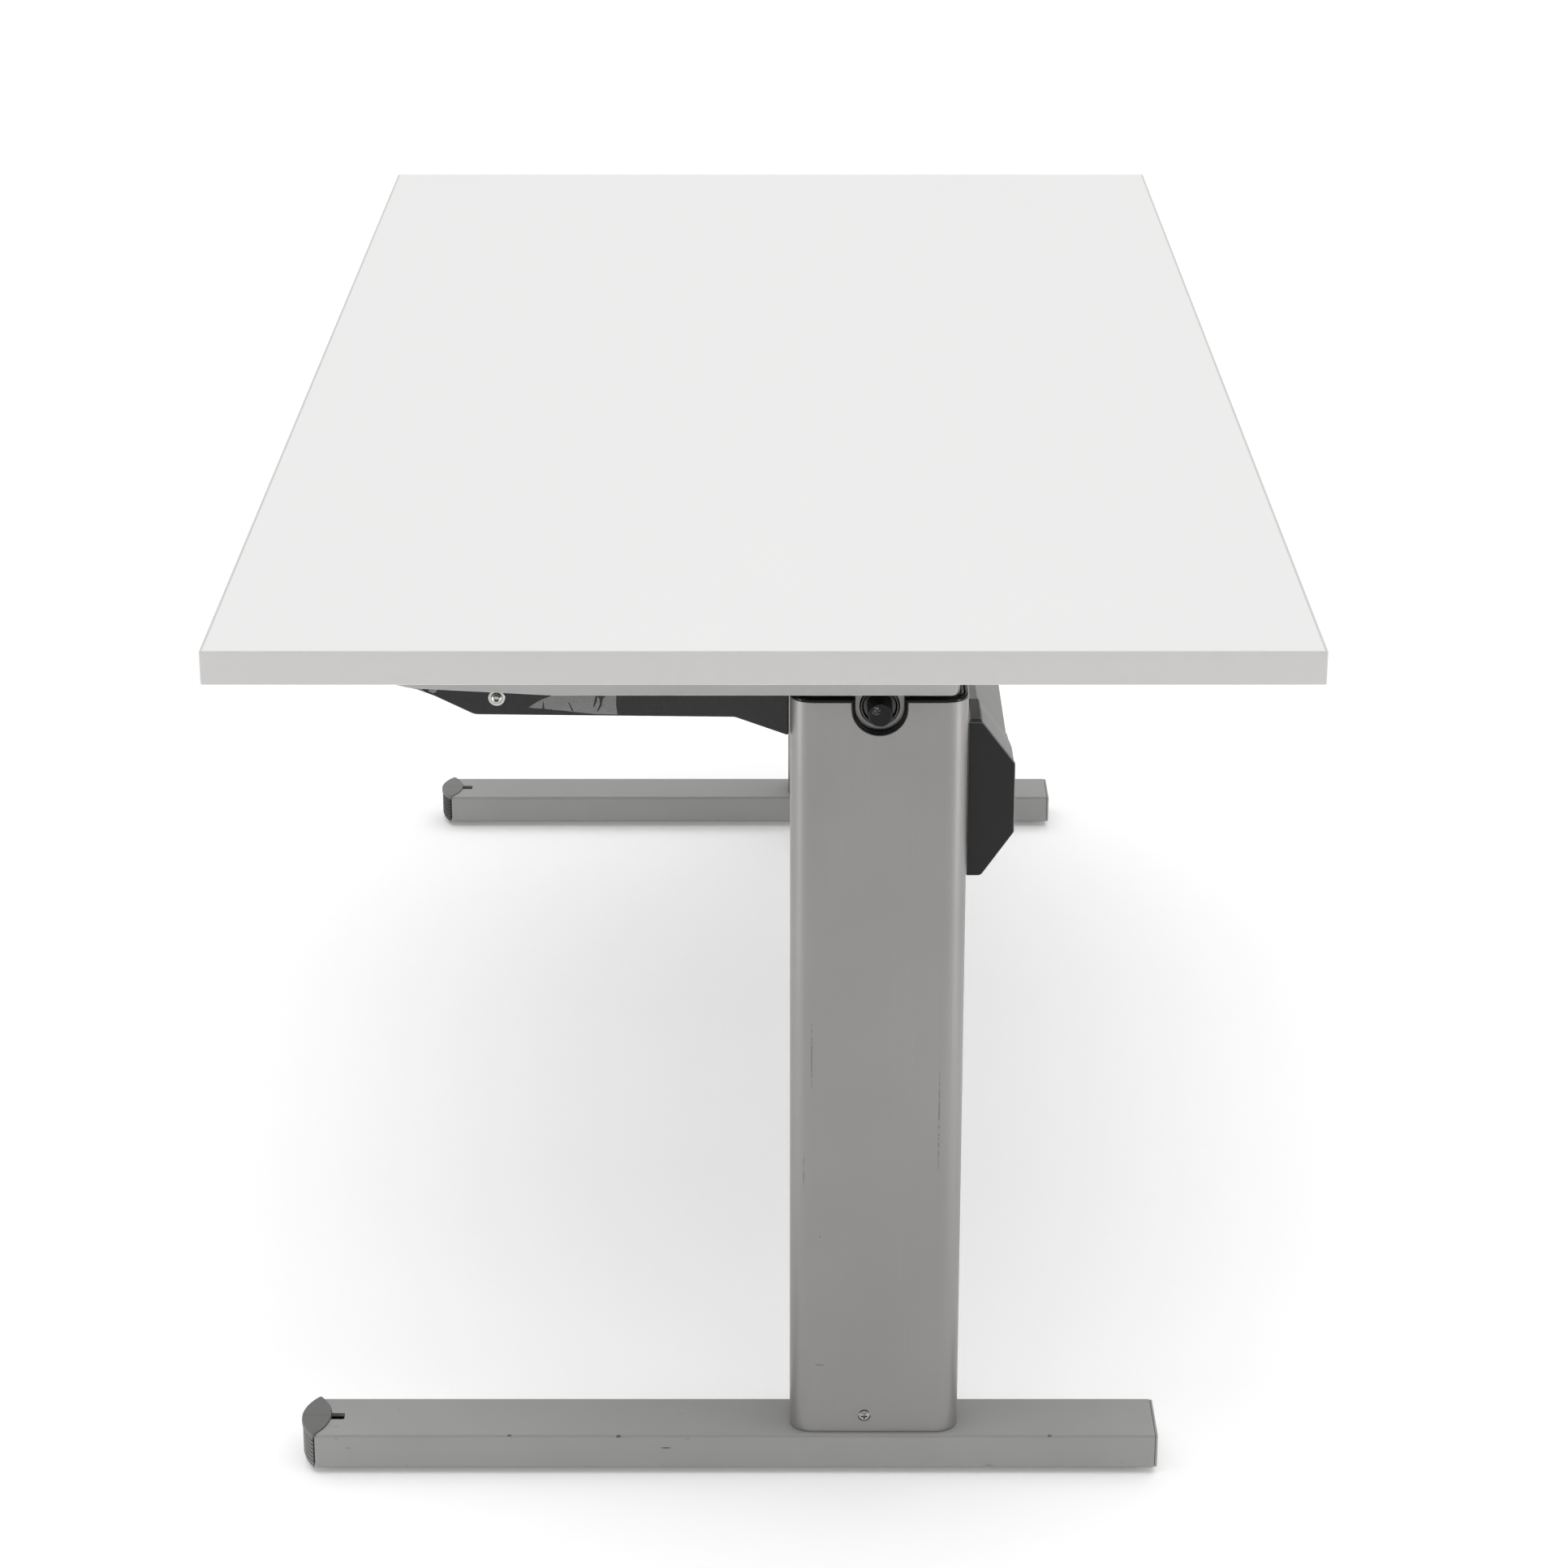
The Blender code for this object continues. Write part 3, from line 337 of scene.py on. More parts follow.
def worked_metal(name, colour, roughness, stretch=(1.0, 1.0, 1.0), tarnish=0.25, scale=500.0):
    """Bare or plated metal with tool marks along one direction and a slight tarnish."""
    made = Finish(name, roughness, metallic=1.0)
    marks = made.noise(scale, 3.0, stretch=stretch)
    stain = made.noise(60.0, 5.0, shift=(0.4, 0.9, 0.2))
    tone = made.mix(made.ramp(marks, 0.3, 0.7), tinted(colour, 0.88), tinted(colour, 1.05))
    stained = made.times(made.ramp(stain, 0.5, 0.75), tarnish)
    made.colour(made.tint(stained, tone, colour, 0.5))
    made.roughness(made.ramp(marks, 0.25, 0.75, roughness - 0.05, roughness + 0.1))
    made.bump((marks, 0.00001))
    return made


def threaded_steel(name, colour, pitch):
    """Bright steel with a screw thread of the given pitch along Z, and painted shade in the thread's grooves.
    """
    made = Finish(name, 0.3, metallic=1.0)
    x, y = (made.math("SUBTRACT", made.math("ABSOLUTE", made.axis(a)), b) for a, b in zip("XY", DRIVE[:2]))
    turn = made.math("DIVIDE", made.math("ARCTAN2", y, x), 2 * pi)
    wave = made.math("FRACT", made.math("ADD", turn, made.math("DIVIDE", made.axis("Z"), pitch)))
    flank = made.away(wave, 0.5)
    # The thread's grooves are darker: painted shade in them.
    made.colour(made.mix(made.ramp(flank, 0.1, 0.3), tinted(colour, 0.55), colour))
    made.roughness(made.ramp(made.noise(300.0, 3.0), 0.3, 0.7, 0.25, 0.4))
    made.bump((made.ramp(flank, 0.12, 0.26), 0.0006))
    return made


def torn_paper(colour):
    """The grey face of a sticker that was peeled off, with a fibrous tooth."""
    made = Finish("torn_sticker_paper", 0.8)
    fibres = made.noise(900.0, 5.0, stretch=(1.0, 0.4, 1.0))
    made.colour(made.mix(made.ramp(fibres, 0.35, 0.65), tinted(colour, 0.9), tinted(colour, 1.06)))
    made.roughness(made.ramp(fibres, 0.3, 0.7, 0.72, 0.88))
    made.bump((fibres, 0.00005))
    return made


# ---- mesh tools


def rounded(corners, radius, steps=5):
    """The outline with an arc at each corner. radius is one number, or one for each corner."""
    points = []
    count = len(corners)
    for i, corner in enumerate(corners):
        reach = radius[i] if isinstance(radius, (list, tuple)) else radius
        here = Vector(corner)
        before = (Vector(corners[i - 1]) - here).normalized()
        after = (Vector(corners[(i + 1) % count]) - here).normalized()
        half = asin(min(1.0, (before + after).length / 2))
        opening = pi / 2 - half
        if reach <= 0 or opening > radians(88):
            points.append(tuple(here))
            continue
        tangent = reach / tan(opening)
        centre = here + (before + after).normalized() * (reach / sin(opening))
        first = here + before * tangent - centre
        last = here + after * tangent - centre
        for step in range(steps + 1):
            arm = first.lerp(last, step / steps).normalized() * reach
            points.append(tuple(centre + arm))
    return points


def rectangle(half_a, half_b, radius, steps=8):
    """A rounded rectangle about the origin, always with the same count of points."""
    radius = max(radius, 1e-5)
    points = []
    for number, (a, b) in enumerate(((1, 1), (-1, 1), (-1, -1), (1, -1))):
        centre_a, centre_b = a * (half_a - radius), b * (half_b - radius)
        for step in range(steps + 1):
            turn = pi / 2 * (number + step / steps)
            points.append((centre_a + radius * cos(turn), centre_b + radius * sin(turn)))
    return points


def quarter(radius, steps=4):
    """A rim's quarter round, as (inset from the side, depth below the end) from the end to the side."""
    turns = [pi / 2 * i / steps for i in range(steps + 1)]
    return [(radius * (1 - sin(t)), radius * (1 - cos(t))) for t in turns]


def circle(radius, steps):
    return [(radius * cos(2 * pi * i / steps), radius * sin(2 * pi * i / steps)) for i in range(steps)]


def lay(axis, outline, level, centre=(0.0, 0.0)):
    """The outline at a level on an axis. Its points are (y, z) across X, (x, z) across Y, (x, y) across Z."""
    across = "XYZ".index(axis)
    points = []
    for a, b in outline:
        point = [a + centre[0], b + centre[1]]
        point.insert(across, level)
        points.append(point)
    return points


def loft(rings, loop=False):
    """A closed mesh through rings of equal point counts. With loop, the last ring joins the first."""
    form = bmesh.new()
    rows = [[form.verts.new(point) for point in ring] for ring in rings]
    count = len(rows[0])
    for row, after in zip(rows, rows[1:] + ([rows[0]] if loop else [])):
        for i in range(count):
            j = (i + 1) % count
            form.faces.new((row[i], row[j], after[j], after[i]))
    if not loop:
        form.faces.new(rows[0])
        form.faces.new(rows[-1])
    return from_form(form)


def from_form(form):
    bmesh.ops.recalc_face_normals(form, faces=form.faces)
    mesh = bpy.data.meshes.new("form")
    form.to_mesh(mesh)
    form.free()
    return mesh


def slab(outline_of, axis, low, high, edge, centre=(0.0, 0.0), steps=4):
    """A prism whose two rims are rounded. outline_of gives its outline at an inset."""
    rim = quarter(edge, steps)
    path = [(inset, low + depth) for inset, depth in rim]
    path += [(inset, high - depth) for inset, depth in reversed(rim)]
    return loft([lay(axis, outline_of(inset), level, centre) for inset, level in path])


def shell(outline_of, wall, axis, low, high, edge, centre=(0.0, 0.0)):
    """An open tube with a wall of even thickness and its rims just broken."""
    path = ((0, low + edge), (0, high - edge), (edge, high), (wall - edge, high))
    path += ((wall, high - edge), (wall, low + edge), (wall - edge, low), (edge, low))
    return loft([lay(axis, outline_of(inset), level, centre) for inset, level in path], loop=True)


def lathe(profile, axis, base, centre, steps=48, loop=False):
    """A turned form from (radius, distance from base) points. With loop it is a ring."""
    return loft([lay(axis, circle(radius, steps), base + level, centre) for radius, level in profile], loop)


def block(low, high):
    """A box between two corners."""
    low, high = Vector(low), Vector(high)
    return prism([(low.x, low.y), (high.x, low.y), (high.x, high.y), (low.x, high.y)], "Z", low.z, high.z)


def prism(outline, axis, low, high, centre=(0.0, 0.0)):
    return loft([lay(axis, outline, low, centre), lay(axis, outline, high, centre)])


def placed(name, data):
    """A new object in the scene."""
    obj = bpy.data.objects.new(name, data)
    bpy.context.scene.collection.objects.link(obj)
    return obj


def applied(obj, *helpers):
    """The object's mesh with its modifiers in it. The object and its helpers are removed."""
    graph = bpy.context.evaluated_depsgraph_get()
    mesh = bpy.data.meshes.new_from_object(obj.evaluated_get(graph))
    for used in (obj, *helpers):
        bpy.data.objects.remove(used)
    return mesh


def joined(mesh, others, operation):
    """The mesh after a Boolean with each of the others."""
    obj = placed("form", mesh)
    helpers = [placed("helper", other) for other in others]
    for helper in helpers:
        modifier = obj.modifiers.new("boolean", "BOOLEAN")
        modifier.operation = operation
        modifier.solver = "EXACT"
        modifier.object = helper
    return applied(obj, *helpers)


def cut(mesh, *cutters):
    return joined(mesh, cutters, "DIFFERENCE")


def fused(mesh, *others):
    return joined(mesh, others, "UNION")


def softened(mesh, width, segments=3, angle=30):
    """The mesh with its edges rounded."""
    obj = placed("form", mesh)
    modifier = obj.modifiers.new("rounding", "BEVEL")
    modifier.width = width
    modifier.segments = segments
    modifier.limit_method = "ANGLE"
    modifier.angle_limit = radians(angle)
    modifier.use_clamp_overlap = True
    return applied(obj)


def gathered(*meshes):
    """Several separate forms as one mesh."""
    form = bmesh.new()
    for mesh in meshes:
        form.from_mesh(mesh)
    return from_form(form)


def piece(name, mesh, finish, body, *nodes, slot=None, leg=None):
    """A finished piece, which rides on its body and stands for the nodes named.

    With leg, the names start with it, and the left leg's piece is mirrored.
    """
    if leg:
        name, nodes = f"{leg}_{name}", [f"{leg}_{node}" for node in nodes]
    if leg == "left":
        mesh.transform(Matrix.Diagonal((-1, 1, 1, 1)))
        mesh.flip_normals()
    mesh.name = name
    mesh.materials.clear()
    mesh.materials.append(finish.material)
    mesh.shade_smooth()
    mesh.set_sharp_from_angle(angle=radians(32))
    obj = placed(name, mesh)
    modifier = obj.modifiers.new("even_normals", "WEIGHTED_NORMAL")
    modifier.keep_sharp = True
    bpy.context.view_layer.update()
    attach(obj, body)
    if nodes:
        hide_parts(*nodes)
    return obj


def carry(finish, *nodes):
    """CAD nodes that show as they are, in a finer material."""
    for name in nodes:
        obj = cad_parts[name]
        obj.data.materials.clear()
        obj.data.materials.append(finish.material)


# ---- places in the frame


class Place:
    """Where a CAD node is."""

    def __init__(self, node):
        self.low, self.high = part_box(node)
        self.middle = (self.low + self.high) / 2
        self.half = (self.high - self.low) / 2


TOP = Place("tabletop")
FOOT = Place("right_foot_tube")
OUTER = Place("right_outer_column")
MIDDLE = Place("right_middle_column")
INNER = Place("right_inner_column")
END_CAP = Place("right_shaft_end_cap")
DRIVE = Vector((OUTER.middle.x, END_CAP.middle.y, END_CAP.middle.z))  # the cross shaft's axis, at the column
ARM = Place("right_support_arm")
ARM_SCREW = Place("right_arm_screw")
RAIL = Place("right_side_rail")
COVER = Place("right_beam_cover")
BRACKET = Place("right_beam_bracket")
ARM_FACE = ARM_SCREW.low.x + 0.0100  # the arm's outer face, where its screw's shank ends
HEAD = INNER.high.z + 0.0003  # where the arm's plate meets the inner tube

TUBE_WALL = 0.002
TUBE_CORNER = 0.017
STAGE_STEP = OUTER.half.y - MIDDLE.half.y
SLIT = 0.0003  # between two pieces that touch

# The front cap's ribbed nose
NOSE_LOW = Place("right_foot_front_cap").low.z
NOSE_HIGH = FOOT.high.z - 0.0010
RIBS = 8
RIB_DEPTH = 0.0009


# ---- finishes in use

WHITE_BOARD = laminate("white_laminate_board", (0.83, 0.83, 0.825))
EDGE_BAND = edge_band((0.64, 0.632, 0.62))
COLUMN_PAINT = column_paint((0.295, 0.287, 0.279))
FOOT_PAINT = powder_coat(
    "foot_powder_coat", (0.335, 0.338, 0.327), 0.45, metallic=0.1, marks=foot_marks
)
# Its strong pale edges are a painted highlight, where the folded sheet's edges catch the floor's light.
RAIL_PAINT = powder_coat("light_grey_powder_coat", (0.37, 0.37, 0.362), 0.42, edge=1.45, share=0.9)
BEAM_PAINT = powder_coat("beam_powder_coat", (0.243, 0.241, 0.235), 0.42)
BLACK_RAIL = powder_coat("black_powder_coat", (0.025, 0.025, 0.025), 0.5, grit=800.0, depth=0.00004)
CAST_BLACK = cast_paint((0.015, 0.015, 0.015))
GLOSS_BLACK = moulded_plastic("gloss_black_plastic", (0.004, 0.004, 0.0042), 0.17, depth=0.000004, gloss=0.18)
BUSH_BLACK = moulded_plastic("bush_black_plastic", (0.008, 0.008, 0.008), 0.24, depth=0.000004, gloss=0.7)
# The cover's pale rim along its upper and rear sides is a painted highlight.
COVER_BLACK = moulded_plastic("cover_black_plastic", (0.015, 0.015, 0.015), 0.38, gloss=0.25, detail=painted_rim_highlight)
CAP_GREY = moulded_plastic("grey_cap_plastic", (0.150, 0.150, 0.148), 0.5, gloss=0.4, detail=cap_lines_and_groove_shade)
# A copy of the grey cap plastic for the left cap: its lighter crown is painted light, and its darker ribs are
# painted shade.
CAP_GREY_PAINTED_LIGHT_AND_SHADE = moulded_plastic(
    "grey_cap_plastic_painted_light_and_shade", (0.205, 0.205, 0.200), 0.5, gloss=0.2, detail=partial(cap_lines_and_groove_shade, ridge=0.38)
)
# Its strongly paled edges are a painted highlight on the cap's chamfer.
HUB_BLACK = moulded_plastic(
    "hub_black_plastic", (0.007, 0.007, 0.007), 0.4, gloss=0.2, rim=8.0, wear=0.5, detail=hub_wear
)
LEVELLER_BLACK = moulded_plastic("leveller_plastic", (0.03, 0.03, 0.03), 0.55)
FASTENER_ZINC = worked_metal("zinc_fastener", (0.54, 0.53, 0.51), 0.28, scale=350.0)
DULL_SCREW = worked_metal("dull_screw_steel", (0.46, 0.455, 0.445), 0.42, scale=350.0)
PLATE_ZINC = worked_metal("zinc_plate", (0.62, 0.61, 0.58), 0.35, (1.0, 1.0, 0.3), tarnish=0.4, scale=120.0)
DRAWN_STEEL = worked_metal("drawn_steel", (0.58, 0.58, 0.575), 0.27, (0.02, 1.0, 1.0))
GEAR_STEEL = worked_metal("gear_steel", (0.5, 0.5, 0.5), 0.32, scale=260.0)
SPINDLE_STEEL = threaded_steel("spindle_steel", (0.56, 0.56, 0.56), 0.010)
NUT_BRASS = worked_metal("nut_brass", (0.62, 0.44, 0.18), 0.3, (0.05, 0.05, 1.0))
STICKER_PAPER = torn_paper((0.215, 0.215, 0.213))


# ---- the top

BAND = 0.002  # thickness of the edge strip
BAND_EDGE = 0.0009
BAND_CORNER = 0.0015


def tabletop():
    """The board and, round its four sides, its edge strip with rounded rims."""
    low, high, half = TOP.low.z, TOP.high.z, TOP.half
    board = slab(
        lambda i: rectangle(half.x - BAND - i, half.y - BAND - i, 1e-5, 1), "Z", low, high, 0.00015, steps=1
    )
    path = [(inset, low + depth) for inset, depth in quarter(BAND_EDGE)]
    path += [(inset, low + high - z) for inset, z in reversed(path)]
    path += [(BAND - 0.0001, high - 0.0001), (BAND - 0.0001, low + 0.0001)]
    rings = []
    for i, z in path:
        rings.append(lay("Z", rectangle(half.x - i, half.y - i, BAND_CORNER - min(i, BAND_EDGE), 4), z))
    piece("tabletop_board", board, WHITE_BOARD, "top", "tabletop", slot="white_laminate")
    piece("tabletop_edge_band", loft(rings, loop=True), EDGE_BAND, "top", "tabletop", slot="white_laminate")


def top_rails():
    """Steel tubes between the arms."""
    for node in ("front_top_rail", "rear_top_rail"):
        rail = Place(node)
        tube = shell(
            lambda i: rectangle(rail.half.y - i, rail.half.z - i, 0.003 - i, 4),
            0.0015, "X", rail.low.x, rail.high.x, 0.0003, (rail.middle.y, rail.middle.z),
        )
        piece(f"{node}_tube", tube, BLACK_RAIL, "top", node, slot="black_rail_paint")


ARM_WIDTH = 0.027
ARM_PLATE = 0.005  # thickness of the plate that closes the inner tube's head
ARM_DEEP_END = OUTER.low.y - 0.0010  # where its deep part ends, beside the column
ARM_REAR = ((ARM.high.y, 0.664), (0.160, HEAD))  # corners of its underside behind the column, in (y, z)
ARM_FRONT = ((-0.0218, 0.6225), (-0.2125, 0.6245), (-0.2416, 0.6389), (-0.3060, 0.6640))  # and in front of it


def support_arm(leg):
    """Cast arm: deep at the column, tapered towards both ends, with a plate over the inner tube's head."""
    top, front, rear = ARM.high.z, ARM.low.y, ARM.high.y
    outline = rounded(
        [
            (front, top), (rear, top), *ARM_REAR, (ARM_DEEP_END, HEAD), (ARM_DEEP_END, ARM.low.z), *ARM_FRONT,
        ],
        (0, 0.002, 0.004, 0.004, 0, 0.0015, 0.010, 0.012, 0.020, 0.006),
    )
    body = softened(prism(outline, "X", ARM_FACE - ARM_WIDTH, ARM_FACE), 0.0014, 4)
    plate = slab(
        lambda i: rectangle(INNER.half.x - i, INNER.half.y - i, TUBE_CORNER - 2 * STAGE_STEP - i),
        "Z", HEAD, HEAD + ARM_PLATE, 0.0006, INNER.middle[:2],
    )
    piece("cast_arm", fused(body, plate), CAST_BLACK, "top", "support_arm", slot="black_cast", leg=leg)


def button_screw(axis, base, centre, washer, head, rise, socket):
    """Button-head screw with a hexagon socket, on a flat washer. Heights go up from the face that it holds."""
    thick, broken = 0.0011, 0.0003
    flat = lathe(
        [
            (washer - broken, broken), (washer, 0.0006), (washer, thick),
            (washer - broken, thick + broken), (0.002, thick + broken),
        ],
        axis, base, centre,
    )
    seat, skirt = thick + 0.0004, 0.0004
    dome = [(head, seat - 0.0003), (head, seat + skirt)]
    for turn in (15, 30, 45, 60):
        dome.append((head * cos(radians(turn)), seat + skirt + (rise - skirt) * sin(radians(turn))))
    dome += [(head * 0.42, seat + rise * 0.93)]
    cap = lathe(dome, axis, base, centre)
    recess = prism(circle(socket, 6), axis, base + seat, base + seat + rise * 2, centre)
    return gathered(flat, cut(cap, recess))


def phillips_screw(axis, base, centre, head, rise, direction=1, sunk=0.0):
    """Pan-head screw with a cross recess. Its head may be sunk into a hole."""
    dome = [(head * 0.96, -sunk), (head, rise * 0.2)]
    for turn in (12, 25, 40, 55, 68, 78):
        dome.append((head * cos(radians(turn)), rise * (0.2 + 0.8 * sin(radians(turn)))))
    form = lathe([(r, direction * h) for r, h in dome], axis, base, centre, 40)
    bars = []
    for half_a, half_b in ((head * 0.60, head * 0.15), (head * 0.15, head * 0.60)):
        bar = [(half_a, half_b), (-half_a, half_b), (-half_a, -half_b), (half_a, -half_b)]
        ends = sorted((base + direction * (rise * 0.3 - sunk), base + direction * rise * 1.5))
        bars.append(prism(bar, axis, *ends, centre))
    return cut(form, *bars)


def arm_screw(leg):
    centre = (ARM_SCREW.middle.y, ARM_SCREW.middle.z)
    screw = button_screw("X", ARM_FACE, centre, 0.0062, 0.0042, 0.0030, 0.0022)
    piece("arm_button_screw", screw, FASTENER_ZINC, "top", "arm_screw", slot="zinc_fastener", leg=leg)


RAIL_SHEET = 0.0025
RAIL_TAPER = ((-0.2559, 0.6573), (-0.3000, 0.6680))  # corners of the hanging flange's front, in (y, z)
RAIL_TAPER_START = -0.1528
RAIL_SCREWS_Y = (-0.235, -0.06, 0.115)


def side_rail(leg):
    """Folded steel angle: a flat flange under the top and a hanging one that tapers off towards the front."""
    face, top, low = RAIL.high.x, RAIL.high.z, RAIL.low.z
    angle = rounded(
        [
            (RAIL.low.x, top), (face, top), (face, low), (face - RAIL_SHEET, low),
            (face - RAIL_SHEET, top - RAIL_SHEET), (RAIL.low.x, top - RAIL_SHEET),
        ],
        (0, 0.0035, 0, 0, 0.001, 0),
    )
    flange = rounded(
        [
            (RAIL.low.y, top + 0.001), (RAIL.high.y, top + 0.001), (RAIL.high.y, low), (RAIL_TAPER_START, low),
            *RAIL_TAPER,
        ],
        (0, 0, 0.004, 0.10, 0.04, 0.01), 8,
    )
    folded = prism(angle, "Y", RAIL.low.y - 0.01, RAIL.high.y + 0.01)
    rail = joined(folded, [prism(flange, "X", RAIL.low.x - 0.01, face + 0.01)], "INTERSECT")
    rail = softened(rail, 0.0006, 3, 50)
    piece("folded_rail", rail, RAIL_PAINT, "top", "side_rail", slot="light_grey_paint", leg=leg)
    under = top - RAIL_SHEET
    screws = [phillips_screw("Z", under, (face - 0.018, y), 0.0042, 0.0022, -1) for y in RAIL_SCREWS_Y]
    piece("rail_screws", gathered(*screws), FASTENER_ZINC, "top", slot="zinc_fastener", leg=leg)


# ---- columns

NOTCH = 0.0205  # radius of the U notch in the outer tube
NOTCH_EDGE = 0.0004
LINER = 0.0011  # radial thickness of each lip's band round the notch
LINER_GAP = 0.0002
BUSH_HOLE = 0.0146  # radius of the holes in the inner tube
SCREW_HOLE = 0.0050


def tube_outline(stage):
    """Outline of a column tube at an inset: stage 0 is the outer tube, 1 the middle one and 2 the inner one."""
    drop = stage * STAGE_STEP
    return lambda i: rectangle(
        OUTER.half.x - drop - i, OUTER.half.y - drop - i, TUBE_CORNER - drop - i
    )


def notch_outline(radius, rise=0.04, steps=32):
    arc = [(radius * cos(pi + pi * i / steps), radius * sin(pi + pi * i / steps)) for i in range(steps + 1)]
    return [(-radius, rise), *arc, (radius, rise)]


def through_cutter(outline_of, radius, face):
    """Cuts both walls of a tube along X, and breaks the cut's outer edges. face is the tube's half depth."""
    x, edge, over = OUTER.middle.x, NOTCH_EDGE, 0.002
    sections = (
        (x - face - over, radius + over + edge), (x - face + edge, radius),
        (x + face - edge, radius), (x + face + over, radius + over + edge),
    )
    return loft([lay("X", outline_of(reach), level, DRIVE[1:]) for level, reach in sections])


def column_tube(stage, place, cutter):
    tube = shell(tube_outline(stage), TUBE_WALL, "Z", place.low.z, place.high.z, 0.0003, place.middle[:2])
    return cut(tube, cutter)


def u_band(radius, low, high, rise):
    """A strip bent to a U round the shaft's axis, from one level along X to the other, with rounded rims."""
    section = rectangle(LINER / 2, (high - low) / 2, 0.0004, 3)
    path = [(pi, rise), (pi, rise / 2)] + [(pi + pi * i / 40, 0.0) for i in range(41)]
    path += [(2 * pi, rise / 2), (2 * pi, rise)]
    rings = []
    for turn, lift in path:
        reach = [radius - LINER / 2 + a for a, _ in section]
        rings.append([
            ((low + high) / 2 + b, DRIVE.y + r * cos(turn), DRIVE.z + lift + r * sin(turn))
            for r, (_, b) in zip(reach, section)
        ])
    return loft(rings)


def lip(stage, place, rim, radius):
    """Black lip on a tube's upper end: a rounded bead, which dips round the notch on both faces."""
    bead, start, end = 0.0009, 0.0002, STAGE_STEP - 0.0005
    top = place.high.z
    path = [(start, rim + SLIT)]
    path += [(start + along, top - down) for down, along in quarter(bead)]
    path += [(end - along, top - down) for along, down in quarter(bead)]
    path += [(end, rim + SLIT)]
    outline_of = tube_outline(stage)
    ring = loft([lay("Z", outline_of(inset), z, OUTER.middle[:2]) for inset, z in path], loop=True)
    face = OUTER.half.x - stage * STAGE_STEP
    opening = prism(notch_outline(radius - LINER), "X", OUTER.low.x - 0.01, OUTER.high.x + 0.01, DRIVE[1:])
    rise = top - DRIVE.z - 0.0009
    bands = []
    for x0, x1 in ((face - TUBE_WALL - 0.0002, face + 0.0002), (-face - 0.0002, TUBE_WALL + 0.0002 - face)):
        bands.append(u_band(radius, OUTER.middle.x + x0, OUTER.middle.x + x1, rise))
    return gathered(cut(ring, opening), *bands)


def columns(leg):
    """Three telescoping tubes, the lips on the two outer ones, and the screw low on the outer face."""
    screw = Place("right_column_screw")
    centre = (screw.middle.y, screw.middle.z)
    screw_hole = prism(circle(SCREW_HOLE, 32), "X", OUTER.middle.x, OUTER.high.x + 0.001, centre)
    outer = cut(column_tube(0, OUTER, through_cutter(notch_outline, NOTCH, OUTER.half.x)), screw_hole)
    piece("column_outer_tube", outer, COLUMN_PAINT, "base", "outer_column", slot="column_paint", leg=leg)
    middle_notch = NOTCH - LINER - LINER_GAP
    middle = column_tube(1, MIDDLE, through_cutter(notch_outline, middle_notch, MIDDLE.half.x))
    stage = f"{leg}_middle_stage"
    piece("column_middle_tube", middle, COLUMN_PAINT, stage, "middle_column", slot="column_paint", leg=leg)
    holes = through_cutter(lambda r: circle(r, 64), BUSH_HOLE, INNER.half.x)
    inner = column_tube(2, INNER, holes)
    piece("column_inner_tube", inner, COLUMN_PAINT, "top", "inner_column", slot="column_paint", leg=leg)
    for node, number, body, radius in (
        ("outer_collar", 0, "base", NOTCH - LINER_GAP),
        ("middle_collar", 1, stage, middle_notch - LINER_GAP),
    ):
        form = lip(number, Place(f"right_{node}"), OUTER.high.z, radius)
        piece(f"{node}_lip", form, GLOSS_BLACK, body, node, slot="black_plastic", leg=leg)
    head = phillips_screw("X", OUTER.high.x, centre, 0.0041, 0.0020, sunk=TUBE_WALL)
    piece("column_phillips_screw", head, DULL_SCREW, "base", "column_screw", slot="zinc_fastener", leg=leg)


# ---- drive


BUSH_PROFILE = (  # (radius, distance outwards from the inner tube's face)
    (0.0138, -0.0022), (0.0143, -0.0018), (0.0143, 0.0014), (0.0139, 0.0018), (0.0133, 0.0019),
    (0.0127, 0.0017), (0.0123, 0.0012), (0.0120, 0.0004), (0.0117, -0.0009), (0.0067, -0.0010),
    (0.0061, -0.0014), (0.0061, -0.0022),
)
CUP_BORE = 0.0061
CUP_DEPTH = 0.0034  # from the cap's face down to its floor


def drive(leg):
    """Bushes in the inner tube's head and the cap on the shaft's end."""
    centre = DRIVE[1:]
    for node, direction in (("outboard_bush", 1), ("inboard_bush", -1)):
        face = OUTER.middle.x + direction * INNER.half.x
        ring = lathe([(r, direction * h) for r, h in BUSH_PROFILE], "X", face, centre, 64, loop=True)
        piece(f"{node}_ring", ring, BUSH_BLACK, "top", node, slot="black_plastic", leg=leg)
    reach, x0, x1 = END_CAP.half.y, END_CAP.low.x, END_CAP.high.x
    profile = [
        (CUP_BORE, x1 - CUP_DEPTH), (CUP_BORE, x0), (reach - 0.0003, x0), (reach, x0 + 0.0004),
        (reach, x1 - 0.0013), (reach - 0.0004, x1 - 0.0005), (reach - 0.0010, x1), (reach - 0.0013, x1),
        (reach - 0.0016, x1 - 0.0003),
    ]
    cap = lathe(profile, "X", 0.0, centre, 64)
    piece("shaft_cap", cap, HUB_BLACK, "drive_shaft", "shaft_end_cap", slot="black_plastic", leg=leg)


def cross_shaft():
    """Hexagonal bar with its corners up and down."""
    shaft = Place("cross_shaft")

    def hexagon(inset):
        return [(b, a) for a, b in circle(shaft.half.z - inset, 6)]

    bar = slab(hexagon, "X", shaft.low.x, shaft.high.x, 0.0006, (shaft.middle.y, shaft.middle.z), 2)
    bar = softened(bar, 0.0003, 2, 45)
    piece("hexagon_shaft", bar, DRAWN_STEEL, "drive_shaft", "cross_shaft", slot="drive_steel")


# ---- crossbeam

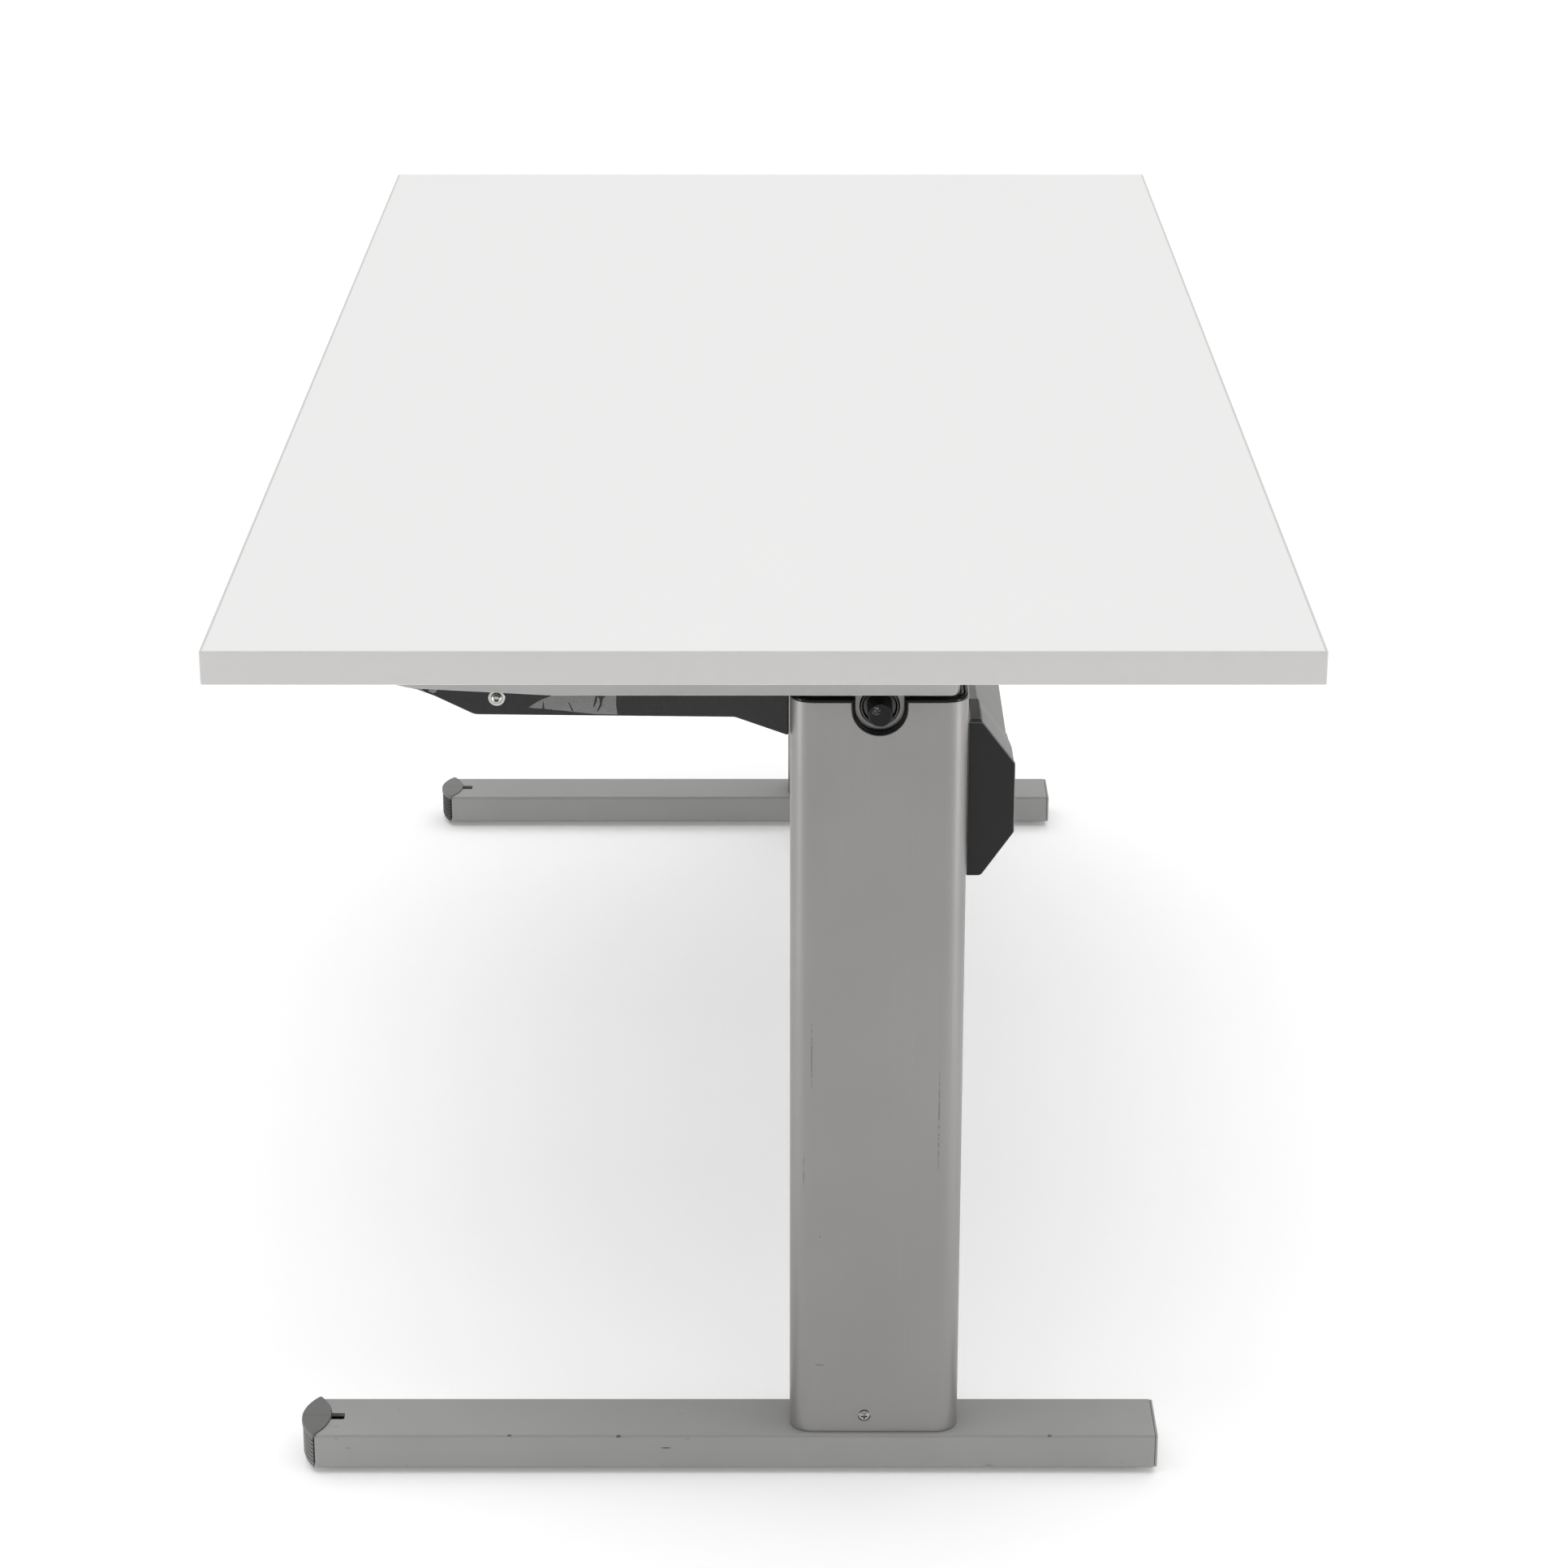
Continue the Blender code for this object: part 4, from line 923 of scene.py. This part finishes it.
SHIELD = tuple(
    (COVER.low.y + a, COVER.low.z + b)
    for a, b in ((0, 0.1218), (0.0106, 0.1218), (0.0352, 0.0893), (0.0352, 0.0350), (0.0108, 0), (0, 0))
)  # the cover's corners, in (y, z)
SHIELD_CORNER = 0.004
BEAM_INSET = 0.0035
BEAM_WALL = 0.002
BRACKET_FLARE = 0.034  # length of the sleeve's flare
BRACKET_SLIM = 0.0027  # the sleeve's inset from the cover's outline before its flare, and after it
BRACKET_WIDE = 0.0007
FLANGE = 0.004
FLANGE_LOW = (0.1040, 0.5050)  # corners of the bolted flange, in (y, z)
FLANGE_HIGH = (0.1545, 0.6000)
COVER_PLATE = 0.003
TONGUE_Y = (0.1520, 0.1608)
PLUG_LOW = (0.684, 0.158, 0.532)
PLUG_HIGH = (0.177, 0.572)


def shield(inset):
    """The crossbeam's section, its sides moved inwards by the inset. The corners at the column are sharper."""
    lines = []
    for i, point in enumerate(SHIELD):
        here, there = Vector(point), Vector(SHIELD[(i + 1) % len(SHIELD)])
        along = (there - here).normalized()
        lines.append((here + Vector((along.y, -along.x)) * inset, along))
    corners = []
    for (start, along), (other, across) in zip(lines[-1:] + lines[:-1], lines):
        offset = other - start
        share = (offset.x * across.y - offset.y * across.x) / (along.x * across.y - along.y * across.x)
        corners.append(tuple(start + along * share))
    round_corner = max(0.0006, SHIELD_CORNER - 0.6 * inset)
    return rounded(corners, (0.0010, round_corner, round_corner, round_corner, round_corner, 0.0010), 6)


def crossbeam():
    beam = Place("crossbeam")
    tube = shell(lambda i: shield(BEAM_INSET + i), BEAM_WALL, "X", beam.low.x, beam.high.x, 0.0003)
    piece("crossbeam_tube", tube, BEAM_PAINT, "base", "crossbeam", slot="beam_paint")


def beam_bracket(leg):
    """Sleeve round the beam's end, flared to the cover's size, and bolted to the column's inner face."""
    start, end = BRACKET.low.x, BRACKET.high.x
    sections = [(start, BRACKET_SLIM + SLIT)]
    for i in range(13):
        rise = 3 * (i / 12) ** 2 - 2 * (i / 12) ** 3
        inset = BRACKET_SLIM + (BRACKET_WIDE - BRACKET_SLIM) * rise
        sections.append((start + max(SLIT, BRACKET_FLARE * i / 12), inset))
    sections += [(end - 0.0004, BRACKET_WIDE), (end, BRACKET_WIDE + 0.0004)]
    sleeve = loft([lay("X", shield(inset), x) for x, inset in sections])
    face = OUTER.low.x - SLIT
    low, high = Vector(FLANGE_LOW), Vector(FLANGE_HIGH)
    half = (high - low) / 2
    plate = slab(
        lambda i: rectangle(half.x - i, half.y - i, 0.005 - i, 5),
        "X", face - FLANGE, face, 0.0005, (low + high) / 2,
    )
    bore = prism(shield(BEAM_INSET - SLIT), "X", start - 0.01, end + 0.01)
    bracket = cut(fused(sleeve, plate), bore)
    piece("flared_bracket", bracket, BEAM_PAINT, "base", "beam_bracket", slot="beam_paint", leg=leg)
    for level in ("lower", "upper"):
        node = f"bracket_bolt_{level}"
        place = Place(f"right_{node}")
        centre = (place.middle.y, place.middle.z)
        bolt = button_screw("X", 0.0, centre, 0.0085, 0.0066, 0.0036, 0.0025)
        bolt.transform(Matrix.Translation((face - FLANGE, 0, 0)) @ Matrix.Diagonal((-1, 1, 1, 1)))
        bolt.flip_normals()
        piece(f"{node}_head", bolt, FASTENER_ZINC, "base", node, slot="zinc_fastener", leg=leg)


def beam_cover(leg):
    """Plastic cover on the beam's end. Its tongue lies along the bracket's top."""
    face = COVER.high.x
    plate = slab(shield, "X", face - COVER_PLATE, face, 0.0009)
    near, far = TONGUE_Y
    low, high = SHIELD[0][1] - 0.0012, COVER.high.z
    tongue = rounded([(near, low), (near, high), (far, high), (far, low)], (0, 0.0012, 0.0026, 0))
    tongue = softened(prism(tongue, "X", COVER.low.x, face - 0.0004), 0.0004, 3)
    plug = block(PLUG_LOW, (face - 0.001, *PLUG_HIGH))
    cover = fused(plate, tongue, plug)
    piece("beam_end_cover", cover, COVER_BLACK, "base", "beam_cover", slot="black_plastic", leg=leg)


# ---- feet

FOOT_CORNER = 0.0035
FOOT_WALL = 0.003
CAP_BITE = 0.0107  # depth of the front cap's arc into the foot's upper wall
CAP_NOSE = 0.0125  # how far the cap's nose stands out
CAP_SIDE = 0.0015
CAP_ROUNDING = 0.002
CAP_LIP = 0.0005
CROWN_EDGE = 0.0008
CAP_GAP = 0.0013  # the dark joint between the cap's nose and the tube
ACCESS_DEPTH = 0.0045  # of the bite and the slot, down from the foot's top
ACCESS_HALF = 0.005  # half width of the slot
LEVELLER_HOLE = 0.0044
PLUG_HALF = 0.0265  # half width of the plugs inside the tube, and their gap from its outside
PLUG_INSET = 0.0033


def arc_radius(rise, half):
    return (half**2 + rise**2) / (2 * rise)


def foot_plug(start, end):
    """The part of a cap that sits inside the foot's tube."""
    x, low, high = FOOT.middle.x, FOOT.low.z + PLUG_INSET, FOOT.high.z - PLUG_INSET
    return block((x - PLUG_HALF, start, low), (x + PLUG_HALF, end, high))


def foot(leg):
    """Foot tube with a bite for its front cap, an access slot behind that, and a plain rear cap."""
    x, top = FOOT.middle.x, FOOT.high.z
    tube = shell(
        lambda i: rectangle(FOOT.half.x - i, FOOT.half.z - i, FOOT_CORNER - i, 6),
        FOOT_WALL, "Y", FOOT.low.y, FOOT.high.y, 0.0003, (x, FOOT.middle.z),
    )
    radius, low = arc_radius(CAP_BITE, FOOT.half.x), top - ACCESS_DEPTH
    bite = lathe([(radius, 0), (radius, 0.0145)], "Z", low, (x, FOOT.low.y + CAP_BITE - radius), 160)
    front, rear = Place("right_front_leveller"), Place("right_rear_leveller")
    x0, x1, y0, y1 = x - ACCESS_HALF, x + ACCESS_HALF, FOOT.low.y, front.middle.y + 0.001
    slot = rounded([(x0, y0), (x1, y0), (x1, y1), (x0, y1)], (0, 0, 0.0015, 0.0015))
    slot = prism(slot, "Z", low, top + 0.002)
    holes = [prism(circle(LEVELLER_HOLE, 24), "Z", -0.01, FOOT.middle.z, p.middle[:2]) for p in (front, rear)]
    tube = cut(tube, bite, slot, *holes)
    piece("foot_steel_tube", tube, FOOT_PAINT, "base", "foot_tube", slot="foot_paint", leg=leg)

    cap = Place("right_foot_rear_cap")
    plate = slab(
        lambda i: rectangle(cap.half.x - i, cap.half.z - i, FOOT_CORNER - i, 6),
        "Y", FOOT.high.y + 0.0003, cap.high.y, 0.0007, (x, cap.middle.z),
    )
    plug = foot_plug(cap.low.y, FOOT.high.y + 0.001)
    form = fused(plate, plug)
    piece("foot_rear_plate", form, FOOT_PAINT, "base", "foot_rear_cap", slot="foot_paint", leg=leg)


def front_cap(leg):
    """Cap of the foot: a smooth lens on top, and a ribbed nose under it."""
    cap = Place("right_foot_front_cap")
    x, back = FOOT.middle.x, FOOT.low.y - CAP_GAP
    half, rise = cap.half.x, CAP_NOSE - CAP_SIDE
    radius = arc_radius(rise, half)
    shares = [2 * i / 32 - 1 for i in range(33)]

    def front_arc(inset, setback=0.0):
        """The arc of the cap's front, as seen from above."""
        centre = FOOT.low.y - CAP_NOSE + radius + inset + setback
        return [(a, centre - sqrt(radius**2 - a**2)) for a in ((half - inset) * share for share in shares)]

    def plan(inset, setback):
        """The nose's outline at one height: its arc, and the straight back along the tube's end."""
        arc = [(a, min(b, back - 0.0004)) for a, b in front_arc(inset, setback)]
        return arc + [(half - inset, back), (inset - half, back)]

    rings, steps = [], 96
    for i in range(steps + 1):
        level = i / steps * (NOSE_HIGH - NOSE_LOW)
        dip = max(0.0, CAP_ROUNDING - level)
        setback = CAP_ROUNDING - sqrt(CAP_ROUNDING**2 - dip**2)
        groove = RIB_DEPTH * (0.5 - 0.5 * cos(2 * pi * RIBS * i / steps))
        rings.append(lay("Z", plan(CAP_LIP + groove, setback), NOSE_LOW + level, (x, 0)))
    nose = loft(rings)

    bite = arc_radius(CAP_BITE, FOOT.half.x)
    bite_centre = FOOT.low.y + CAP_BITE - bite

    def lens(inset):
        """The crown's outline: the nose's arc in front and the bite's arc behind."""
        front = front_arc(inset)
        rear = [(a, bite_centre + sqrt((bite - 0.0003 - inset) ** 2 - a * a)) for a, _ in reversed(front)]
        return front + rear

    path = [(0.0, FOOT.high.z - 0.0026)]
    path += [(along, cap.high.z - down) for down, along in quarter(CROWN_EDGE)]
    crown = loft([lay("Z", lens(inset), z, (x, 0)) for inset, z in path])
    form = fused(nose, crown, foot_plug(back - 0.002, FOOT.low.y + 0.010))
    # The left cap takes the grey plastic's copy with painted light on its crown and painted shade on its nose.
    finish = CAP_GREY if leg == "right" else CAP_GREY_PAINTED_LIGHT_AND_SHADE
    piece("foot_ribbed_cap", form, finish, "base", "foot_front_cap", slot="grey_plastic", leg=leg)


PAD_SECTIONS = (  # (radius, height, share of the flutes' depth)
    (0.0125, 0.0, 0.0), (0.0130, 0.0003, 0.2), (0.0137, 0.0008, 1.0), (0.0137, 0.0022, 1.0),
    (0.0131, 0.0030, 0.6), (0.0118, 0.0038, 0.0), (0.0060, 0.0042, 0.0), (0.0052, 0.0050, 0.0),
)
FLUTES = 18
FLUTE_DEPTH = 0.0003
STEM_PITCH = 0.00125
STEM_LOW = 0.0048


def leveller(leg, end):
    """Screw foot: a plastic pad with a fluted rim, and a threaded steel stem with a hexagon socket."""
    node = f"{end}_leveller"
    place = Place(f"right_{node}")
    centre = place.middle[:2]
    rings, steps = [], 144
    for reach, level, share in PAD_SECTIONS:
        outline = []
        for i in range(steps):
            turn = 2 * pi * i / steps
            radius = reach + share * FLUTE_DEPTH * cos(FLUTES * turn)
            outline.append((radius * cos(turn), radius * sin(turn)))
        rings.append(lay("Z", outline, level, centre))
    body = f"{leg}_{end}_levelling_foot"
    piece(f"{end}_foot_pad", loft(rings), LEVELLER_BLACK, body, node, slot="leveller_plastic", leg=leg)
    top = place.high.z
    profile = []
    for i in range(int((top - STEM_LOW - 0.001) / STEM_PITCH)):
        profile += [(0.0040, STEM_LOW + STEM_PITCH * (i + 0.25)), (0.0034, STEM_LOW + STEM_PITCH * (i + 0.75))]
    profile.append((0.0032, top))
    socket = prism(circle(0.0019, 6), "Z", top - 0.003, top + 0.002, centre)
    stem = cut(lathe(profile, "Z", 0.0, centre, 32), socket)
    piece(f"{end}_foot_stem", stem, FASTENER_ZINC, body, node, slot="zinc_fastener", leg=leg)


# ---- torn sticker

STICKER = (  # what is left of a sticker on the right arm's outer face, in (y, z)
    (-0.1727, 0.6304), (-0.1700, 0.6322), (-0.1655, 0.6352), (-0.1620, 0.6370), (-0.1561, 0.6391),
    (-0.1556, 0.6470), (-0.1083, 0.6470), (-0.1083, 0.6389), (-0.1086, 0.6326), (-0.1076, 0.6247),
    (-0.1150, 0.6249), (-0.1229, 0.6250), (-0.1310, 0.6259), (-0.1377, 0.6266), (-0.1480, 0.6279),
    (-0.1555, 0.6285), (-0.1620, 0.6294), (-0.1685, 0.6297),
)
STICKER_TEARS = (
    ((-0.1628, 0.6280), (-0.1609, 0.6280), (-0.1615, 0.6330), (-0.1619, 0.6360)),
    ((-0.1572, 0.6275), (-0.1552, 0.6275), (-0.1562, 0.6296)),
    ((-0.1436, 0.6343), (-0.1429, 0.6344), (-0.1398, 0.6274), (-0.1410, 0.6274)),
    ((-0.1235, 0.6392), (-0.1222, 0.6392), (-0.1226, 0.6350), (-0.1249, 0.6302), (-0.1253, 0.6310)),
    ((-0.1226, 0.6392), (-0.1162, 0.6392), (-0.1183, 0.6366), (-0.1192, 0.6316), (-0.1220, 0.6270),
     (-0.1226, 0.6275), (-0.1204, 0.6330), (-0.1206, 0.6368)),
)
TIP_REMAINS = (
    (
        (-0.2588, 0.6453), (-0.2512, 0.6437), (-0.2478, 0.6418), (-0.2500, 0.6440),
        (-0.2540, 0.6470), (-0.2590, 0.6470),
    ),
    (
        (-0.2452, 0.6425), (-0.2440, 0.6421), (-0.2420, 0.6413), (-0.2400, 0.6425),
        (-0.2385, 0.6455), (-0.2460, 0.6455),
    ),
)


def torn_sticker():
    """Grey remains of a sticker on the right arm. There is no print on it."""
    low, high = ARM_FACE - 0.00005, ARM_FACE + 0.00018
    label = prism(STICKER, "X", low, high)
    tears = [prism(tear, "X", low - 0.001, high + 0.001) for tear in STICKER_TEARS]
    scraps = [prism(scrap, "X", low, high) for scrap in TIP_REMAINS]
    piece("right_arm_torn_sticker", gathered(cut(label, *tears), *scraps), STICKER_PAPER, "top")


# ---- the desk


def build():
    tabletop()
    top_rails()
    crossbeam()
    cross_shaft()
    torn_sticker()
    for leg in LEGS:
        support_arm(leg)
        arm_screw(leg)
        side_rail(leg)
        columns(leg)
        drive(leg)
        beam_bracket(leg)
        beam_cover(leg)
        foot(leg)
        front_cap(leg)
        for end in ("front", "rear"):
            leveller(leg, end)
        carry(PLATE_ZINC, f"{leg}_column_base", f"{leg}_bearing_block")
        carry(GEAR_STEEL, f"{leg}_spindle_gear", f"{leg}_shaft_gear")
        carry(SPINDLE_STEEL, f"{leg}_spindle")
        carry(NUT_BRASS, f"{leg}_spindle_nut")


# ---- floor, light and camera

ROOM_BEHIND = 0.72  # the room's strength behind the desk, towards -X
ROOM_BEFORE = 0.10
OVERHEAD_LIGHT = 2.0
SOFTBOX_X = 1.25
SOFTBOX_Y = 1.5
SOFTBOX_Z = 0.38
SOFTBOX_POWER = 4.5


def floor():
    form = bmesh.new()
    bmesh.ops.create_grid(form, x_segments=8, y_segments=8, size=20.0)
    mesh = from_form(form)
    plain = Finish(
        "plain_floor", 0.9, Specular_IOR_Level=0.1, Emission_Color=(1.0, 1.0, 1.0, 1.0), Emission_Strength=0.15
    )
    clouds = plain.ramp(plain.noise(0.8, 3.0), 0.3, 0.7)
    plain.colour(plain.mix(clouds, (0.955, 0.955, 0.955), (0.965, 0.965, 0.965)))
    mesh.materials.append(plain.material)
    obj = placed("studio_floor", mesh)


def lamp(name, kind, place, target, power, **settings):
    """A lamp that lights the desk but isn't seen itself."""
    light = bpy.data.lights.new(name, kind)
    light.energy = power
    for key, value in settings.items():
        setattr(light, key, value)
    obj = placed(name, light)
    obj.location = place
    obj.rotation_euler = (Vector(target) - Vector(place)).to_track_quat("-Z", "Y").to_euler()
    obj.visible_camera = False


def studio():
    """A white room, brighter behind the desk, an even light overhead, and two low softboxes in front."""
    world = bpy.data.worlds.new("studio")
    world.use_nodes = True
    tree = world.node_tree
    nodes, links = tree.nodes, tree.links
    room = nodes["Background"]
    backdrop = nodes.new("ShaderNodeBackground")
    for node in (room, backdrop):
        node.inputs["Color"].default_value = (1.0, 1.0, 1.0, 1.0)
    split = nodes.new("ShaderNodeSeparateXYZ")
    links.new(nodes.new("ShaderNodeTexCoord").outputs["Generated"], split.inputs[0])
    strength = nodes.new("ShaderNodeMapRange")
    links.new(split.outputs["X"], strength.inputs["Value"])
    for key, value in (("From Min", -1.0), ("To Min", ROOM_BEHIND), ("To Max", ROOM_BEFORE)):
        strength.inputs[key].default_value = value
    links.new(strength.outputs["Result"], room.inputs["Strength"])
    seen = nodes.new("ShaderNodeLightPath")
    share = nodes.new("ShaderNodeMixShader")
    links.new(seen.outputs["Is Camera Ray"], share.inputs[0])
    links.new(room.outputs[0], share.inputs[1])
    links.new(backdrop.outputs[0], share.inputs[2])
    links.new(share.outputs[0], nodes["World Output"].inputs["Surface"])
    scene = bpy.context.scene
    scene.world = world
    scene.view_settings.view_transform = "Standard"
    lamp("overhead_light", "SUN", (0, 0, 4), (0, 0, 0), OVERHEAD_LIGHT, angle=radians(85))
    for name, side in (("left_softbox", -1), ("right_softbox", 1)):
        place = (SOFTBOX_X, SOFTBOX_Y * side, SOFTBOX_Z)
        target = (OUTER.middle.x, 0, SOFTBOX_Z)
        lamp(name, "AREA", place, target, SOFTBOX_POWER, shape="RECTANGLE", size=0.35, size_y=0.65)


CAMERA_PLACE = (3.5385, 0.0145, 1.6279)
CAMERA_PITCH = 20.534  # degrees below the horizon, looking along -X
CAMERA_LENS = 93.78


def camera():
    data = bpy.data.cameras.new("camera")
    data.sensor_width = 36.0
    data.lens = CAMERA_LENS
    obj = placed("camera", data)
    obj.location = CAMERA_PLACE
    obj.rotation_euler = (radians(90 - CAMERA_PITCH), 0, radians(90))
    bpy.context.scene.camera = obj


build()
floor()
studio()
camera()
